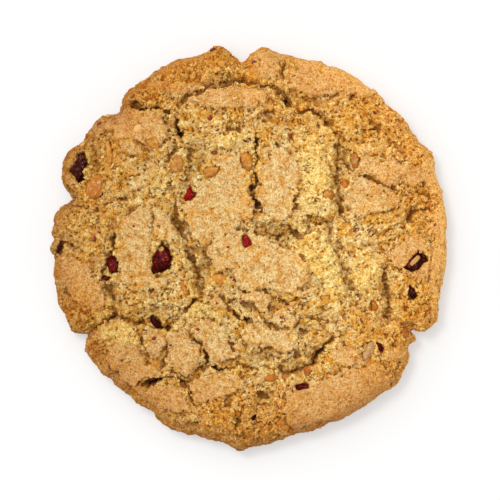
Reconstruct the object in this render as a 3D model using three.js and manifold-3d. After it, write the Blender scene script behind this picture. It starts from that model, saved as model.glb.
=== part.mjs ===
// Granola cookie: a thick round cookie whose crust has cracked into plates over a crumbly dough,
// with dried cranberries and pieces of almond baked into its top.
//
// Units are millimetres and degrees, +Z is up, and the origin is the middle of the flat base.
// Seen from above, +X is to the right and +Y is away from the viewer. Directions are counted
// anticlockwise from +X.

import * as THREE from 'three';
import { mergeVertices } from 'three/addons/utils/BufferGeometryUtils.js';
import Module from 'manifold-3d';

const wasm = await Module();
wasm.setup();

// ---------------------------------------------------------------- driving dimensions

const EDGE_RADIUS = 49.2; // mean radius of the widest level
const EDGE_CENTRE = [0.46, 0.71]; // its centre, which leaves the whole box on the origin
const CROWN = 13.2; // height of the top at the middle, before its relief
const BELLY = 3.6; // height of the widest level
const FOOT_INSET = 3.0; // how far the flat base stays inside the widest level
const DOME_POWER = 2.7; // 2 is a half ellipse, and a larger number gives fuller shoulders

const RINGS = 35; // rings of facets from the crown to the widest level
const FOOT_BANDS = 3; // rows of facets from the widest level to the base
const FACET = 1.5; // size of a facet, and so of the finest relief that this solid holds

const LUMP = { size: 5.5, height: 0.5 }; // the dough's own unevenness
const GRAIN = { size: 2.4, height: 0.4 }; // crumb, which the plates of crust cover
const EDGE_GRAIN = { size: 2.6, height: 0.3 }; // crumb along the edge
const TEAR = { size: 2.0, reach: 0.5 }; // how the torn edge of a plate strays from its outline
const PLATE_EDGE = 1.0; // width of the step down from a plate
const ROUTE_END = 2.5; // length over which a crack runs out at its ends

const GAP = 0.3; // clearance round each piece that is set in the dough
const OPENING = 4; // how far a pocket is cut upward, to clear the top of the dough

// Levels of a piece set in the dough: share of its outline, and share of its thickness below its top
const SHOULDER = { share: 0.6, drop: 0.13 };
const GIRTH = { share: 1, drop: 0.5 };
const UNDERSIDE = { share: 0.62, drop: 0.86 };
const FRUIT_FOLD = 0.1; // how much a cranberry's shoulder is folded in or out
const NUT_CHIP = 0.16; // how much an almond's shoulder is chipped in or out

// The edge: lobes (reach above 0) and notches (reach below 0) of the widest level.
// direction, reach, spread (half width, degrees)
const EDGE = [
  [18, 0.4, 7],
  [27, 1.6, 3.5],
  [40, 0.5, 2],
  [51, 0.3, 3],
  [77, -1.1, 6],
  [86, 0.8, 2.2],
  [92.4, -3.3, 3.2],
  [100, 1.3, 3],
  [112, 0.6, 5],
  [134.8, -2.5, 3.6],
  [142, 0.6, 2],
  [155, 2.3, 5.5],
  [165.4, -3.5, 2.6],
  [181, 1.3, 1.6],
  [196, 0.6, 7],
  [208.8, -3.0, 2],
  [230, -1.1, 11],
  [246, 0.7, 2.2],
  [252, 0.4, 1.5],
  [266.6, 1.3, 1.8],
  [269, 1.3, 7],
  [287, -0.6, 13],
  [317, 1.0, 4],
  [328, -2.4, 3.4],
  [332.2, -3.0, 1.2],
  [338, 0.9, 2.5],
  [350, -0.4, 6],
];

// Plates of unbroken crust, which stand over the crumb round them: rise, outline seen from above
const PLATES = [
  { rise: 0.9, outline: [[-33.9, 34.1], [-30.1, 35.4], [-26.9, 34.1], [-24.6, 33.9], [-22.1, 32.9],
    [-20.6, 30.6], [-20.1, 27.6], [-21.9, 25.4], [-24.1, 24.6], [-25.9, 25.6], [-28.6, 27.1],
    [-31.9, 27.4], [-34.1, 27.4], [-36.1, 28.6], [-35.4, 31.6]] },
  { rise: 0.5, outline: [[-32.4, 26.6], [-28.6, 26.6], [-26.4, 24.9], [-24.6, 23.9], [-25.6, 22.6],
    [-28.6, 23.1], [-31.1, 24.1]] },
  { rise: 0.8, outline: [[-24.1, 41.1], [-20.1, 41.6], [-15.9, 41.6], [-12.1, 40.1], [-8.4, 39.9],
    [-5.1, 40.1], [-0.9, 39.6], [3.4, 39.1], [5.4, 37.4], [3.4, 35.6], [-0.1, 34.9], [-3.1, 35.4],
    [-6.6, 34.9], [-10.1, 35.4], [-13.6, 36.1], [-16.1, 37.9], [-19.6, 38.6], [-23.1, 39.4]] },
  { rise: 0.6, outline: [[0.9, 44.6], [1.9, 48.1], [3.9, 49.4], [6.9, 49.4], [9.9, 48.1],
    [9.9, 46.9], [7.9, 46.1], [7.4, 44.1], [6.9, 42.6], [3.9, 42.4], [1.6, 42.6]] },
  { rise: 0.8, outline: [[11.4, 47.6], [15.9, 46.9], [20.4, 45.6], [24.9, 43.9], [28.4, 41.6],
    [31.9, 38.9], [29.4, 37.6], [25.9, 37.9], [23.4, 39.4], [20.9, 37.6], [16.9, 37.9],
    [13.4, 38.9], [10.9, 40.1], [10.6, 42.1], [12.1, 44.4]] },
  { rise: 0.9, outline: [[-9.6, 23.6], [-6.6, 24.6], [-3.4, 24.4], [-2.1, 22.6], [-1.4, 19.6],
    [0.6, 18.6], [0.4, 15.6], [0.4, 12.9], [1.9, 10.4], [1.1, 8.4], [-1.1, 7.1], [-2.1, 5.4],
    [-5.1, 4.1], [-7.4, 2.6], [-9.4, 1.9], [-10.9, 0.4], [-13.1, 1.9], [-14.6, 3.9], [-15.1, 8.6],
    [-16.6, 10.6], [-15.6, 11.9], [-12.9, 12.9], [-12.6, 16.4], [-10.9, 17.1], [-8.1, 18.1],
    [-6.6, 20.1], [-8.6, 21.1]] },
  { rise: 1.0, outline: [[3.4, 24.6], [5.9, 25.6], [8.9, 24.9], [11.1, 23.1], [12.6, 20.6],
    [12.9, 18.1], [11.9, 14.6], [11.4, 11.4], [10.4, 8.6], [7.9, 6.9], [4.9, 7.6], [3.4, 10.1],
    [2.1, 12.6], [3.1, 15.6], [2.4, 18.1], [3.6, 20.6]] },
  { rise: 1.0, outline: [[-8.9, 1.4], [-6.6, 2.4], [-3.9, 4.4], [-0.1, 4.9], [1.9, 3.4], [4.6, 2.6],
    [7.4, 1.4], [9.4, -0.6], [12.4, -1.4], [14.4, -3.6], [14.6, -7.4], [13.6, -9.9],
    [10.9, -10.9], [7.4, -10.6], [3.4, -9.9], [-0.6, -10.6], [-2.6, -9.1], [-3.9, -6.1],
    [-5.1, -4.9], [-7.6, -5.4], [-9.1, -3.4], [-10.4, -0.9]] },
  { rise: 0.7, outline: [[-1.4, -11.4], [1.9, -10.9], [5.4, -11.1], [6.4, -12.6], [4.9, -14.4],
    [5.4, -16.4], [3.4, -15.9], [0.9, -13.6], [-1.4, -12.6]] },
  { rise: 0.7, outline: [[5.9, -15.9], [8.9, -15.1], [10.9, -16.1], [11.9, -17.9], [10.6, -19.9],
    [8.1, -19.6], [6.1, -17.9]] },
  { rise: 0.9, outline: [[0.9, -18.6], [3.4, -18.1], [5.6, -19.9], [8.4, -20.6], [10.9, -20.1],
    [12.4, -22.1], [12.6, -24.4], [10.6, -25.6], [6.9, -25.4], [3.6, -24.4], [0.4, -24.1],
    [-1.4, -23.1], [-2.6, -22.1], [-1.4, -20.4]] },
  { rise: 1.0, outline: [[-13.6, -18.1], [-10.9, -17.4], [-7.6, -18.4], [-5.9, -20.4],
    [-4.9, -22.9], [-3.9, -25.4], [-2.4, -26.1], [-2.6, -27.4], [-5.6, -27.4], [-8.6, -27.9],
    [-10.4, -27.1], [-11.1, -25.1], [-11.4, -23.1], [-12.9, -22.1], [-14.4, -20.6]] },
  { rise: 0.9, outline: [[-20.6, -21.1], [-18.1, -20.4], [-15.6, -20.1], [-14.1, -22.4],
    [-12.4, -24.1], [-12.1, -26.9], [-12.9, -29.4], [-13.9, -30.9], [-15.6, -31.9],
    [-17.9, -30.6], [-19.9, -28.4], [-20.4, -25.9], [-19.6, -23.6]] },
  { rise: 0.7, outline: [[-14.6, -32.9], [-11.4, -32.6], [-9.6, -31.6], [-6.1, -31.4],
    [-2.1, -31.9], [-0.4, -33.4], [-1.9, -34.9], [-4.6, -35.6], [-6.6, -36.9], [-9.6, -38.1],
    [-12.6, -37.6], [-14.6, -35.6], [-15.1, -34.1]] },
  { rise: 0.6, outline: [[-35.1, -24.6], [-31.6, -23.9], [-28.1, -24.1], [-26.9, -26.4],
    [-25.1, -28.9], [-22.6, -29.9], [-23.6, -31.6], [-26.6, -32.4], [-27.6, -34.1],
    [-25.6, -35.6], [-22.6, -34.1], [-19.1, -33.6], [-17.6, -35.6], [-15.6, -38.1],
    [-14.6, -40.1], [-17.1, -40.9], [-21.1, -40.4], [-25.6, -38.1], [-28.6, -35.6],
    [-31.6, -32.9], [-33.9, -29.9], [-35.6, -27.1]] },
  { rise: 0.9, outline: [[8.9, -34.9], [11.9, -35.6], [15.9, -33.9], [20.4, -31.9], [24.4, -30.1],
    [27.9, -29.6], [31.4, -28.6], [34.6, -29.6], [36.6, -32.4], [34.4, -34.9], [30.4, -37.6],
    [25.4, -40.9], [21.6, -42.6], [16.9, -43.9], [12.4, -45.1], [9.4, -43.9], [8.4, -40.4],
    [9.4, -37.9]] },
  { rise: 0.4, outline: [[44.6, 22.6], [46.4, 22.6], [47.4, 19.1], [48.4, 15.6], [49.4, 10.9],
    [49.6, 4.6], [49.4, -1.6], [48.1, -7.9], [47.1, -11.9], [45.4, -10.9], [45.6, -6.6],
    [45.4, -3.4], [46.1, -0.4], [46.6, 3.1], [46.1, 6.6], [47.4, 9.6], [48.1, 12.6],
    [45.9, 14.6], [43.9, 17.1], [42.9, 20.1]] },
  { rise: 0.7, outline: [[27.9, 22.9], [31.1, 22.9], [33.6, 21.9], [36.4, 21.9], [39.1, 20.4],
    [42.4, 20.6], [43.9, 17.6], [42.1, 15.4], [38.9, 16.1], [35.9, 15.6], [32.9, 16.4],
    [30.4, 17.9], [27.9, 18.9]] },
  { rise: 0.8, outline: [[26.1, 17.1], [28.4, 17.1], [30.9, 16.4], [33.4, 15.1], [35.9, 14.1],
    [37.9, 12.1], [37.4, 10.1], [34.9, 9.4], [31.4, 8.9], [28.4, 8.1], [25.9, 8.9], [24.6, 11.4],
    [24.9, 14.1]] },
  { rise: 0.6, outline: [[35.6, -0.9], [37.4, 0.4], [39.1, 3.1], [41.9, 3.1], [44.6, 1.4],
    [45.4, -1.4], [44.9, -4.4], [44.4, -7.9], [41.4, -7.6], [38.9, -5.9], [36.4, -4.4],
    [35.6, -2.6]] },
  { rise: 0.8, outline: [[-31.6, 6.6], [-29.6, 8.6], [-27.1, 10.4], [-24.6, 9.9], [-23.9, 7.6],
    [-24.6, 4.6], [-24.6, 1.6], [-24.9, -1.9], [-24.4, -4.9], [-23.1, -7.1], [-19.6, -7.1],
    [-20.1, -9.1], [-22.6, -10.4], [-26.1, -10.6], [-29.6, -10.1], [-31.6, -8.1], [-32.4, -4.9],
    [-31.6, -1.9], [-31.9, 1.1], [-31.4, 3.6]] },
  { rise: 0.6, outline: [[-23.6, 10.4], [-21.4, 9.4], [-19.1, 6.6], [-17.9, 4.1], [-19.1, 1.9],
    [-22.1, 2.4], [-23.9, 4.1], [-23.4, 7.1]] },
  { rise: 0.6, outline: [[-47.1, -2.4], [-44.6, -1.4], [-41.6, -2.6], [-39.6, -4.9],
    [-38.1, -8.4], [-36.1, -10.9], [-35.4, -13.6], [-37.6, -15.1], [-40.6, -14.9],
    [-43.6, -12.9], [-45.6, -9.9], [-46.9, -5.9]] },
  { rise: 0.6, outline: [[-24.6, -19.9], [-22.1, -20.9], [-20.6, -22.9], [-21.4, -25.4],
    [-23.1, -26.9], [-25.1, -25.4], [-26.6, -21.9]] },
  { rise: 0.6, outline: [[-11.1, -12.6], [-8.6, -12.1], [-6.1, -12.6], [-4.6, -13.9],
    [-6.1, -14.9], [-9.1, -13.9]] },
  { rise: 0.5, outline: [[20.9, -25.9], [24.1, -24.6], [27.4, -24.9], [27.9, -27.9],
    [25.4, -29.4], [22.4, -28.9], [20.4, -27.4]] },
  { rise: 0.5, outline: [[33.9, -25.4], [36.6, -24.9], [39.1, -25.9], [38.9, -27.9],
    [36.4, -28.1], [33.9, -27.4]] },
  { rise: 0.4, outline: [[-39.1, 30.6], [-36.1, 31.1], [-34.6, 32.1], [-34.1, 30.1],
    [-36.1, 28.6], [-38.1, 28.1]] },
  { rise: 0.3, outline: [[-19.1, 47.1], [-14.6, 48.1], [-10.6, 49.1], [-12.1, 47.1],
    [-16.1, 45.6], [-20.1, 44.1], [-22.6, 44.1]] },
];

// Crumbly mounds between the plates: x, y, half length, half width, turn, rise
const MOUNDS = [
  [16.1, 19.1, 4.2, 10, 0, 0.9],
  [19, -3.5, 10, 4.2, -62, 0.9],
  [28.9, -6, 3.4, 5.6, 0, 0.7],
  [-32.5, -21.5, 4.4, 3.2, 0, 0.8],
  [-22, 16, 4.4, 5.5, 0, 0.6],
  [-10.4, -15.8, 4.4, 2, -20, 0.8],
  [26, -18, 8, 3.5, -20, 0.5],
  [-17, 44, 13, 3.4, 22, 0.6],
  [-27, 38.6, 5.5, 3.4, 38, 0.5],
  [39, 29, 9.5, 3.4, -50, 0.5],
  [11, 34, 7, 2.2, -12, 0.6],
  [-3.6, 27.6, 4.6, 2.2, 5, 0.5],
  [-5, 31.5, 6, 2, 0, 0.3],
  [-33, 17.5, 4, 4.5, 0, 0.5],
  [-41.5, 6.5, 3.2, 3.6, 0, 0.5],
  [42.5, -15, 3.4, 3.6, 0, 0.6],
  [37, -22, 4, 2.6, 10, 0.5],
  [-1, -39, 7, 3, 0, 0.4],
  [33, 3, 6, 2.6, 10, 0.4],
];

// Hollows where the crumb lies low: x, y, half length, half width, turn, depth
const HOLLOWS = [
  [-12.9, 22.1, 3.4, 4.4, 0, 0.8],
  [-15.9, 14.8, 1.7, 3.8, 0, 0.6],
  [-16.9, 5.4, 1.9, 4.5, 25, 0.8],
  [-12.1, -5.4, 2.8, 7, 0, 0.9],
  [-0.4, -14.2, 3.4, 1.9, -35, 0.9],
  [7.5, 3.9, 6.4, 2.4, -8, 0.9],
  [17.2, 6.6, 3.2, 1.4, 0, 0.8],
  [22.9, 19.1, 2.5, 12, -3, 0.9],
  [4.9, 32.6, 1.6, 2, 0, 0.7],
  [12.4, 37.4, 7, 1.6, -12, 0.8],
  [22.4, -0.4, 1.8, 3.2, 10, 0.6],
  [24.6, -8, 1.6, 5, 15, 0.7],
  [34.6, -11.6, 2, 6, 5, 0.9],
  [2.9, -27.1, 5, 1.7, 0, 0.9],
  [16.6, -26.6, 3.4, 3.6, 0, 0.8],
  [-33.6, -13.4, 1.8, 4.4, 10, 0.7],
  [-25, -16.2, 6.6, 2.4, 0, 0.8],
  [-38.4, 20.4, 1.8, 2.4, 0, 0.9],
  [-37.6, 24.4, 1.3, 2.2, 0, 0.8],
  [-45.4, 10.9, 1.9, 1.2, 0, 0.6],
  [-25.9, -23.5, 1.3, 2.2, 0, 0.6],
  [3.9, -37.6, 2.6, 3.4, 0, 0.8],
  [-2.4, -43.9, 2.6, 1, 0, 0.5],
  [-7, 42, 6, 1.8, 10, 0.7],
  [-34, 2.5, 1.6, 5, 0, 0.6],
  [14, -19.6, 2.4, 2.4, 0, 0.7],
  [40, 8.6, 5, 1.6, 10, 0.6],
];

// Cracks between the plates, as the line of their floor seen from above. Going along a route, the
// left side rises gently over "slope" and the right side is the broken edge of a plate, "wall" wide.
const CRACKS = [
  { depth: 4.2, slope: 2.0, wall: 0.5,
    route: [[-31, 36], [-25.5, 35], [-21, 34.5], [-18.8, 33], [-18, 30], [-16.5, 26.5]] },
  { depth: 1.3, slope: 1.6, wall: 0.9,
    route: [[-16.5, 26.5], [-19.5, 24], [-20.7, 20.5], [-20.2, 18], [-18.2, 13], [-18.5, 9]] },
  { depth: 1.2, slope: 1.5, wall: 0.9, route: [[-17, 26], [-14.7, 24], [-14.4, 20], [-15.5, 16.5]] },
  { depth: 1.8, slope: 2.2, wall: 0.8,
    route: [[-18, 36], [-12.5, 39], [-9, 40], [-5.5, 41], [-1.5, 42], [5, 40], [9, 38.5]] },
  { depth: 2.6, slope: 2.4, wall: 0.6,
    route: [[8, 39], [11, 35.2], [15, 34], [18.5, 32.5], [20.5, 30.5], [22, 28]] },
  { depth: 1.8, slope: 2.2, wall: 1.3, route: [[21.5, 29.5], [22.5, 25.5], [23, 22.5], [26.5, 19.2]] },
  { depth: 1.6, slope: 0.5, wall: 0.4, route: [[28, 17.8], [31, 17.2], [33, 16.2], [35, 14.8]] },
  { depth: 2.6, slope: 1.0, wall: 0.4,
    route: [[1, 29.5], [1.8, 26], [2, 21], [1.5, 17.5], [0.9, 14.5], [1.5, 11.5], [3, 9]] },
  { depth: 1.8, slope: 2.0, wall: 0.9,
    route: [[0.5, 6.5], [4, 4.5], [7.5, 3], [10.5, 4.5], [12.5, 2.5], [16, 5], [20.5, 6.2]] },
  { depth: 1.2, slope: 2.0, wall: 1.6,
    route: [[22.8, 22], [22, 18.5], [22.5, 14.5], [23, 9.5], [20.5, 6.2], [20.5, 1.5]] },
  { depth: 0.8, slope: 2.0, wall: 1.8,
    route: [[20.5, 2], [22.5, -1.5], [24, -5.5], [25.5, -9], [27.8, -12]] },
  { depth: 1.9, slope: 2.4, wall: 0.9,
    route: [[-18.5, 9], [-17.5, 6], [-16, 2], [-14.5, -1.5], [-12.8, -6], [-12, -10], [-12.2, -13]] },
  { depth: 1.6, slope: 1.2, wall: 0.5, route: [[-13, -12.8], [-10.5, -14], [-8, -15.5]] },
  { depth: 3.4, slope: 2.2, wall: 0.6,
    route: [[-7, -11.5], [-5.2, -13.5], [-3.8, -16], [-1.8, -18], [1, -18.6]] },
  { depth: 2.2, slope: 0.9, wall: 0.5, route: [[2.4, -16], [4.3, -18.5], [7, -20.6]] },
  { depth: 2.4, slope: 2.0, wall: 0.8,
    route: [[-41, -21.5], [-38, -20], [-35.5, -18], [-33, -16.5], [-30, -18], [-27, -18.8], [-24, -18.2]] },
  { depth: 2.4, slope: 2.2, wall: 0.8,
    route: [[-26, -18.8], [-23, -20], [-20, -20.2], [-18.3, -18], [-15.5, -15.2], [-12.5, -13]] },
  { depth: 1.8, slope: 1.8, wall: 0.8,
    route: [[-34.5, 6], [-34, 1.5], [-35.5, -3], [-36.5, -7.5], [-34.8, -11.5], [-33.2, -16]] },
  { depth: 2.8, slope: 1.6, wall: 0.6,
    route: [[-14, -22.8], [-12, -24.6], [-10.7, -27.5], [-11.2, -29.6], [-9, -29.7], [-6.8, -30.4],
      [-3, -29.2]] },
  { depth: 2.4, slope: 1.8, wall: 0.6,
    route: [[-3.5, -29.2], [1.5, -29.6], [6, -29.7], [8.7, -31.4], [11, -31]] },
  { depth: 3.0, slope: 2.0, wall: 0.7,
    route: [[9.5, -31.4], [13, -30.2], [16, -29], [17.6, -26.5], [19.5, -24], [21.3, -22.3]] },
  { depth: 1.5, slope: 2.0, wall: 1.2,
    route: [[33.5, -3], [34.2, -9], [35, -13], [35.6, -16.5], [38, -18.6], [41, -19.8]] },
  { depth: 1.3, slope: 1.5, wall: 0.8, route: [[32, 2.6], [35.5, 4.8], [38.5, 6], [41.5, 9], [45.5, 9.6]] },
  { depth: 1.2, slope: 1.2, wall: 0.7, route: [[40.5, 13.6], [44, 13.9], [47.5, 12.6]] },
  { depth: 0.9, slope: 2.4, wall: 0.9,
    route: [[-15, 25], [-12, 25.5], [-9, 27], [-6, 29], [-2, 30], [1, 29.5]] },
  { depth: 1.6, slope: 0.7, wall: 0.5,
    route: [[-19, -30.5], [-17, -32.5], [-15, -34.8], [-14.5, -37.5], [-13, -39.5]] },
  { depth: 3.2, slope: 1.1, wall: 0.6,
    route: [[-26.8, -34.6], [-24, -33.2], [-21.5, -32.6], [-19, -32.4]] },
  { depth: 1.2, slope: 1.2, wall: 0.7, route: [[-27.6, -19.5], [-27.1, -23], [-25.7, -26], [-26, -28.5]] },
  { depth: 1.2, slope: 0.9, wall: 0.6, route: [[-20.2, -24], [-20.9, -28], [-21.8, -32.4]] },
  { depth: 1.6, slope: 1.5, wall: 0.6, route: [[-39.2, 26], [-38.2, 21], [-39.4, 19.4]] },
  { depth: 1.3, slope: 1.3, wall: 0.7,
    route: [[-45.5, 11.4], [-42, 10.5], [-38.5, 9.2], [-32.5, 11.6], [-27.5, 12.6]] },
  { depth: 1.4, slope: 0.7, wall: 0.5, route: [[-46.4, 1.4], [-44.5, 0.6], [-41, -1]] },
  { depth: 1.1, slope: 0.6, wall: 0.4, route: [[-5, 2.6], [-3, 4], [0.5, 5.6]] },
  { depth: 1.2, slope: 0.5, wall: 0.4, route: [[-1.6, -11], [1, -10.6], [3.2, -10]] },
  { depth: 1.5, slope: 1.0, wall: 0.6, route: [[5, -12.6], [8.5, -13.2], [11, -13.4], [14.5, -12.6]] },
  { depth: 1.5, slope: 1.8, wall: 0.7, route: [[11.5, -19.5], [13.5, -17.2], [16, -17], [19, -18.4]] },
  { depth: 1.4, slope: 0.6, wall: 0.4, route: [[-5, -20.4], [-4.6, -22.5], [-3.8, -24.8]] },
  { depth: 1.0, slope: 0.6, wall: 0.4, route: [[23.4, -24.4], [25.6, -23.6]] },
  { depth: 1.5, slope: 1.3, wall: 0.6, route: [[29, 29.6], [33.2, 29.4], [30.6, 32.6]] },
  { depth: 0.9, slope: 0.9, wall: 0.6, route: [[31.5, 37.6], [33.5, 34.6], [35.8, 31.6]] },
  { depth: 0.9, slope: 0.5, wall: 0.4, route: [[37, 21.6], [40.6, 20.4]] },
  { depth: 1.4, slope: 0.8, wall: 0.6, route: [[9.5, 47.4], [8.4, 45], [8.5, 41.8]] },
  { depth: 0.9, slope: 1.0, wall: 0.6, route: [[-31, 22.6], [-27.5, 23], [-24.5, 21.6], [-21.6, 22]] },
  { depth: 1.1, slope: 1.2, wall: 0.7, route: [[-9.5, -46.8], [-5, -46.9], [-0.5, -47.2], [4, -48]] },
  { depth: 0.8, slope: 0.6, wall: 0.4, route: [[35, -0.6], [36.6, 0.9], [39, 1.6]] },
];

// Round pits: x, y, half length, half width, turn, depth
const PITS = [
  [-5.2, 41.4, 1.7, 1.2, 30, 1.6],
  [-1.4, 43.3, 1.3, 1.1, 0, 1.3],
  [5.5, 34, 1.6, 1.1, 10, 1.1],
  [3.6, 32, 0.9, 0.9, 0, 0.9],
  [22, 25.6, 1.0, 0.8, 0, 1.4],
  [24, 27.2, 0.7, 0.7, 0, 1.0],
  [22.6, 22, 0.8, 0.7, 0, 1.2],
  [22.7, 9.6, 1.0, 0.9, 0, 1.7],
  [10.8, 4.6, 0.9, 0.7, 0, 1.4],
  [11.8, 3, 0.6, 0.6, 0, 1.2],
  [38.2, 5.6, 0.7, 0.7, 0, 1.0],
  [-45, 1, 0.9, 0.8, 0, 1.6],
  [-13.5, -44, 1.4, 1.0, -20, 1.2],
  [3.3, -36.6, 1.8, 1.0, -20, 1.5],
  [-3, -44, 1.6, 1.1, 0, 1.2],
  [-11.4, -29.6, 1.4, 1.2, 0, 1.6],
  [-6.9, -30.5, 1.3, 1.1, 0, 1.3],
  [11.6, -27, 1.7, 1.4, 0, 1.6],
  [17, -26.6, 1.1, 1.1, 0, 1.4],
  [-35, 28.6, 1.5, 1.3, 0, 1.2],
  [-18.4, -18, 1.3, 1.0, 0, 1.4],
  [14.1, -20.5, 1.1, 1.0, 0, 1.1],
  [28, -11.6, 1.0, 1.2, 0, 1.1],
  [35, -17.2, 1.2, 1.0, 0, 1.0],
  [-33, -31.2, 1.7, 1.2, 20, 1.0],
  [34.6, -22, 0.8, 0.7, 0, 0.9],
  [-4.8, -37.9, 1.5, 0.9, 10, 0.9],
  [33, -27.9, 0.5, 0.5, 0, 0.8],
];

// Dried cranberries: thickness, lift of the top over the dough round it, outline seen from above
const CRANBERRIES = [
  { thickness: 3.2, lift: 0, outline: [[-41.6, 24.4], [-40.9, 22.9], [-40.1, 21.4], [-40.9, 19.6],
    [-41.1, 17.6], [-42.6, 15.9], [-43.6, 17.6], [-45.1, 19.4], [-43.6, 22.1]] },
  { thickness: 2.2, lift: 0.5, outline: [[-14.6, 15.6], [-14, 14.4], [-13.1, 13.1], [-14.4, 12.1],
    [-15.6, 11.9], [-16.4, 12.4], [-15.6, 14.1]] },
  { thickness: 4, lift: 0.6, outline: [[-24.1, -2.1], [-22.6, -0.1], [-21.4, 1.2], [-20.1, 0.4],
    [-19.4, -0.9], [-18.9, -2.9], [-19.4, -4.4], [-20.6, -5.4], [-22.1, -5.9], [-23.9, -6.1],
    [-24.1, -4.4]] },
  { thickness: 3, lift: 0.4, outline: [[-34.4, -1.4], [-33.1, -2.1], [-32.4, -3.6], [-32.4, -4.9],
    [-33.1, -6], [-34.4, -6.1], [-34.9, -5.1], [-35.6, -3.4]] },
  { thickness: 2.2, lift: 0.1, outline: [[-36.9, -6.6], [-35.6, -6.8], [-34.5, -7.4],
    [-34.9, -8.2], [-36.1, -8.6], [-37.1, -7.8]] },
  { thickness: 2, lift: 0.2, outline: [[-46.9, 2.2], [-46.3, 1.5], [-46.7, 0], [-47.5, -1.4],
    [-48.2, -1], [-47.8, 0.7]] },
  { thickness: 2, lift: 0.4, outline: [[-1.4, 3.4], [-0.6, 3.6], [0.4, 2.4], [0.9, 1.1],
    [0.1, 0.4], [-0.9, 0], [-1.4, 0.6], [-1.5, 1.9]] },
  { thickness: 2.4, lift: 0.1, outline: [[-24.9, -17.1], [-24.1, -16.4], [-23.1, -17.4],
    [-21.9, -18.4], [-21.1, -19.9], [-21.9, -20.7], [-23.1, -19.8], [-24.6, -18.7]] },
  { thickness: 2.4, lift: 0.3, outline: [[38.9, -4.9], [39.9, -3.1], [41.1, -1.6], [42.4, -0.6],
    [43.3, -1.2], [44.5, -2], [44.5, -3], [43.6, -4], [42.7, -5], [41.1, -5.7], [39.6, -5.5]] },
  { thickness: 1.8, lift: 0.1, outline: [[11.6, -34.1], [13.1, -33.7], [14.9, -33.9],
    [14.9, -34.9], [13.1, -35.1], [11.9, -35.4]] },
  { thickness: 1.6, lift: 0.1, outline: [[32.4, -23.6], [33.3, -24.2], [33.9, -25.3],
    [33.2, -25.9], [32.6, -25.7], [32.4, -24.6]] },
  { thickness: 2, lift: 0, outline: [[-26.4, -33.3], [-24.6, -33], [-22.9, -32.5],
    [-21.3, -32.6], [-22.1, -33.4], [-23.9, -34.1], [-25.1, -35], [-26.1, -34.5]] },
  { thickness: 2, lift: -0.2, outline: [[40.4, -9.1], [41.4, -9.9], [42.1, -10.9], [42.1, -12.1],
    [41.2, -12.9], [40.4, -12.5], [40.1, -10.9]] },
  { thickness: 1.6, lift: 0, outline: [[0.4, -42.6], [0.9, -41.7], [2.1, -41.4], [1.9, -42.6],
    [0.9, -43.1]] },
];

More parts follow.
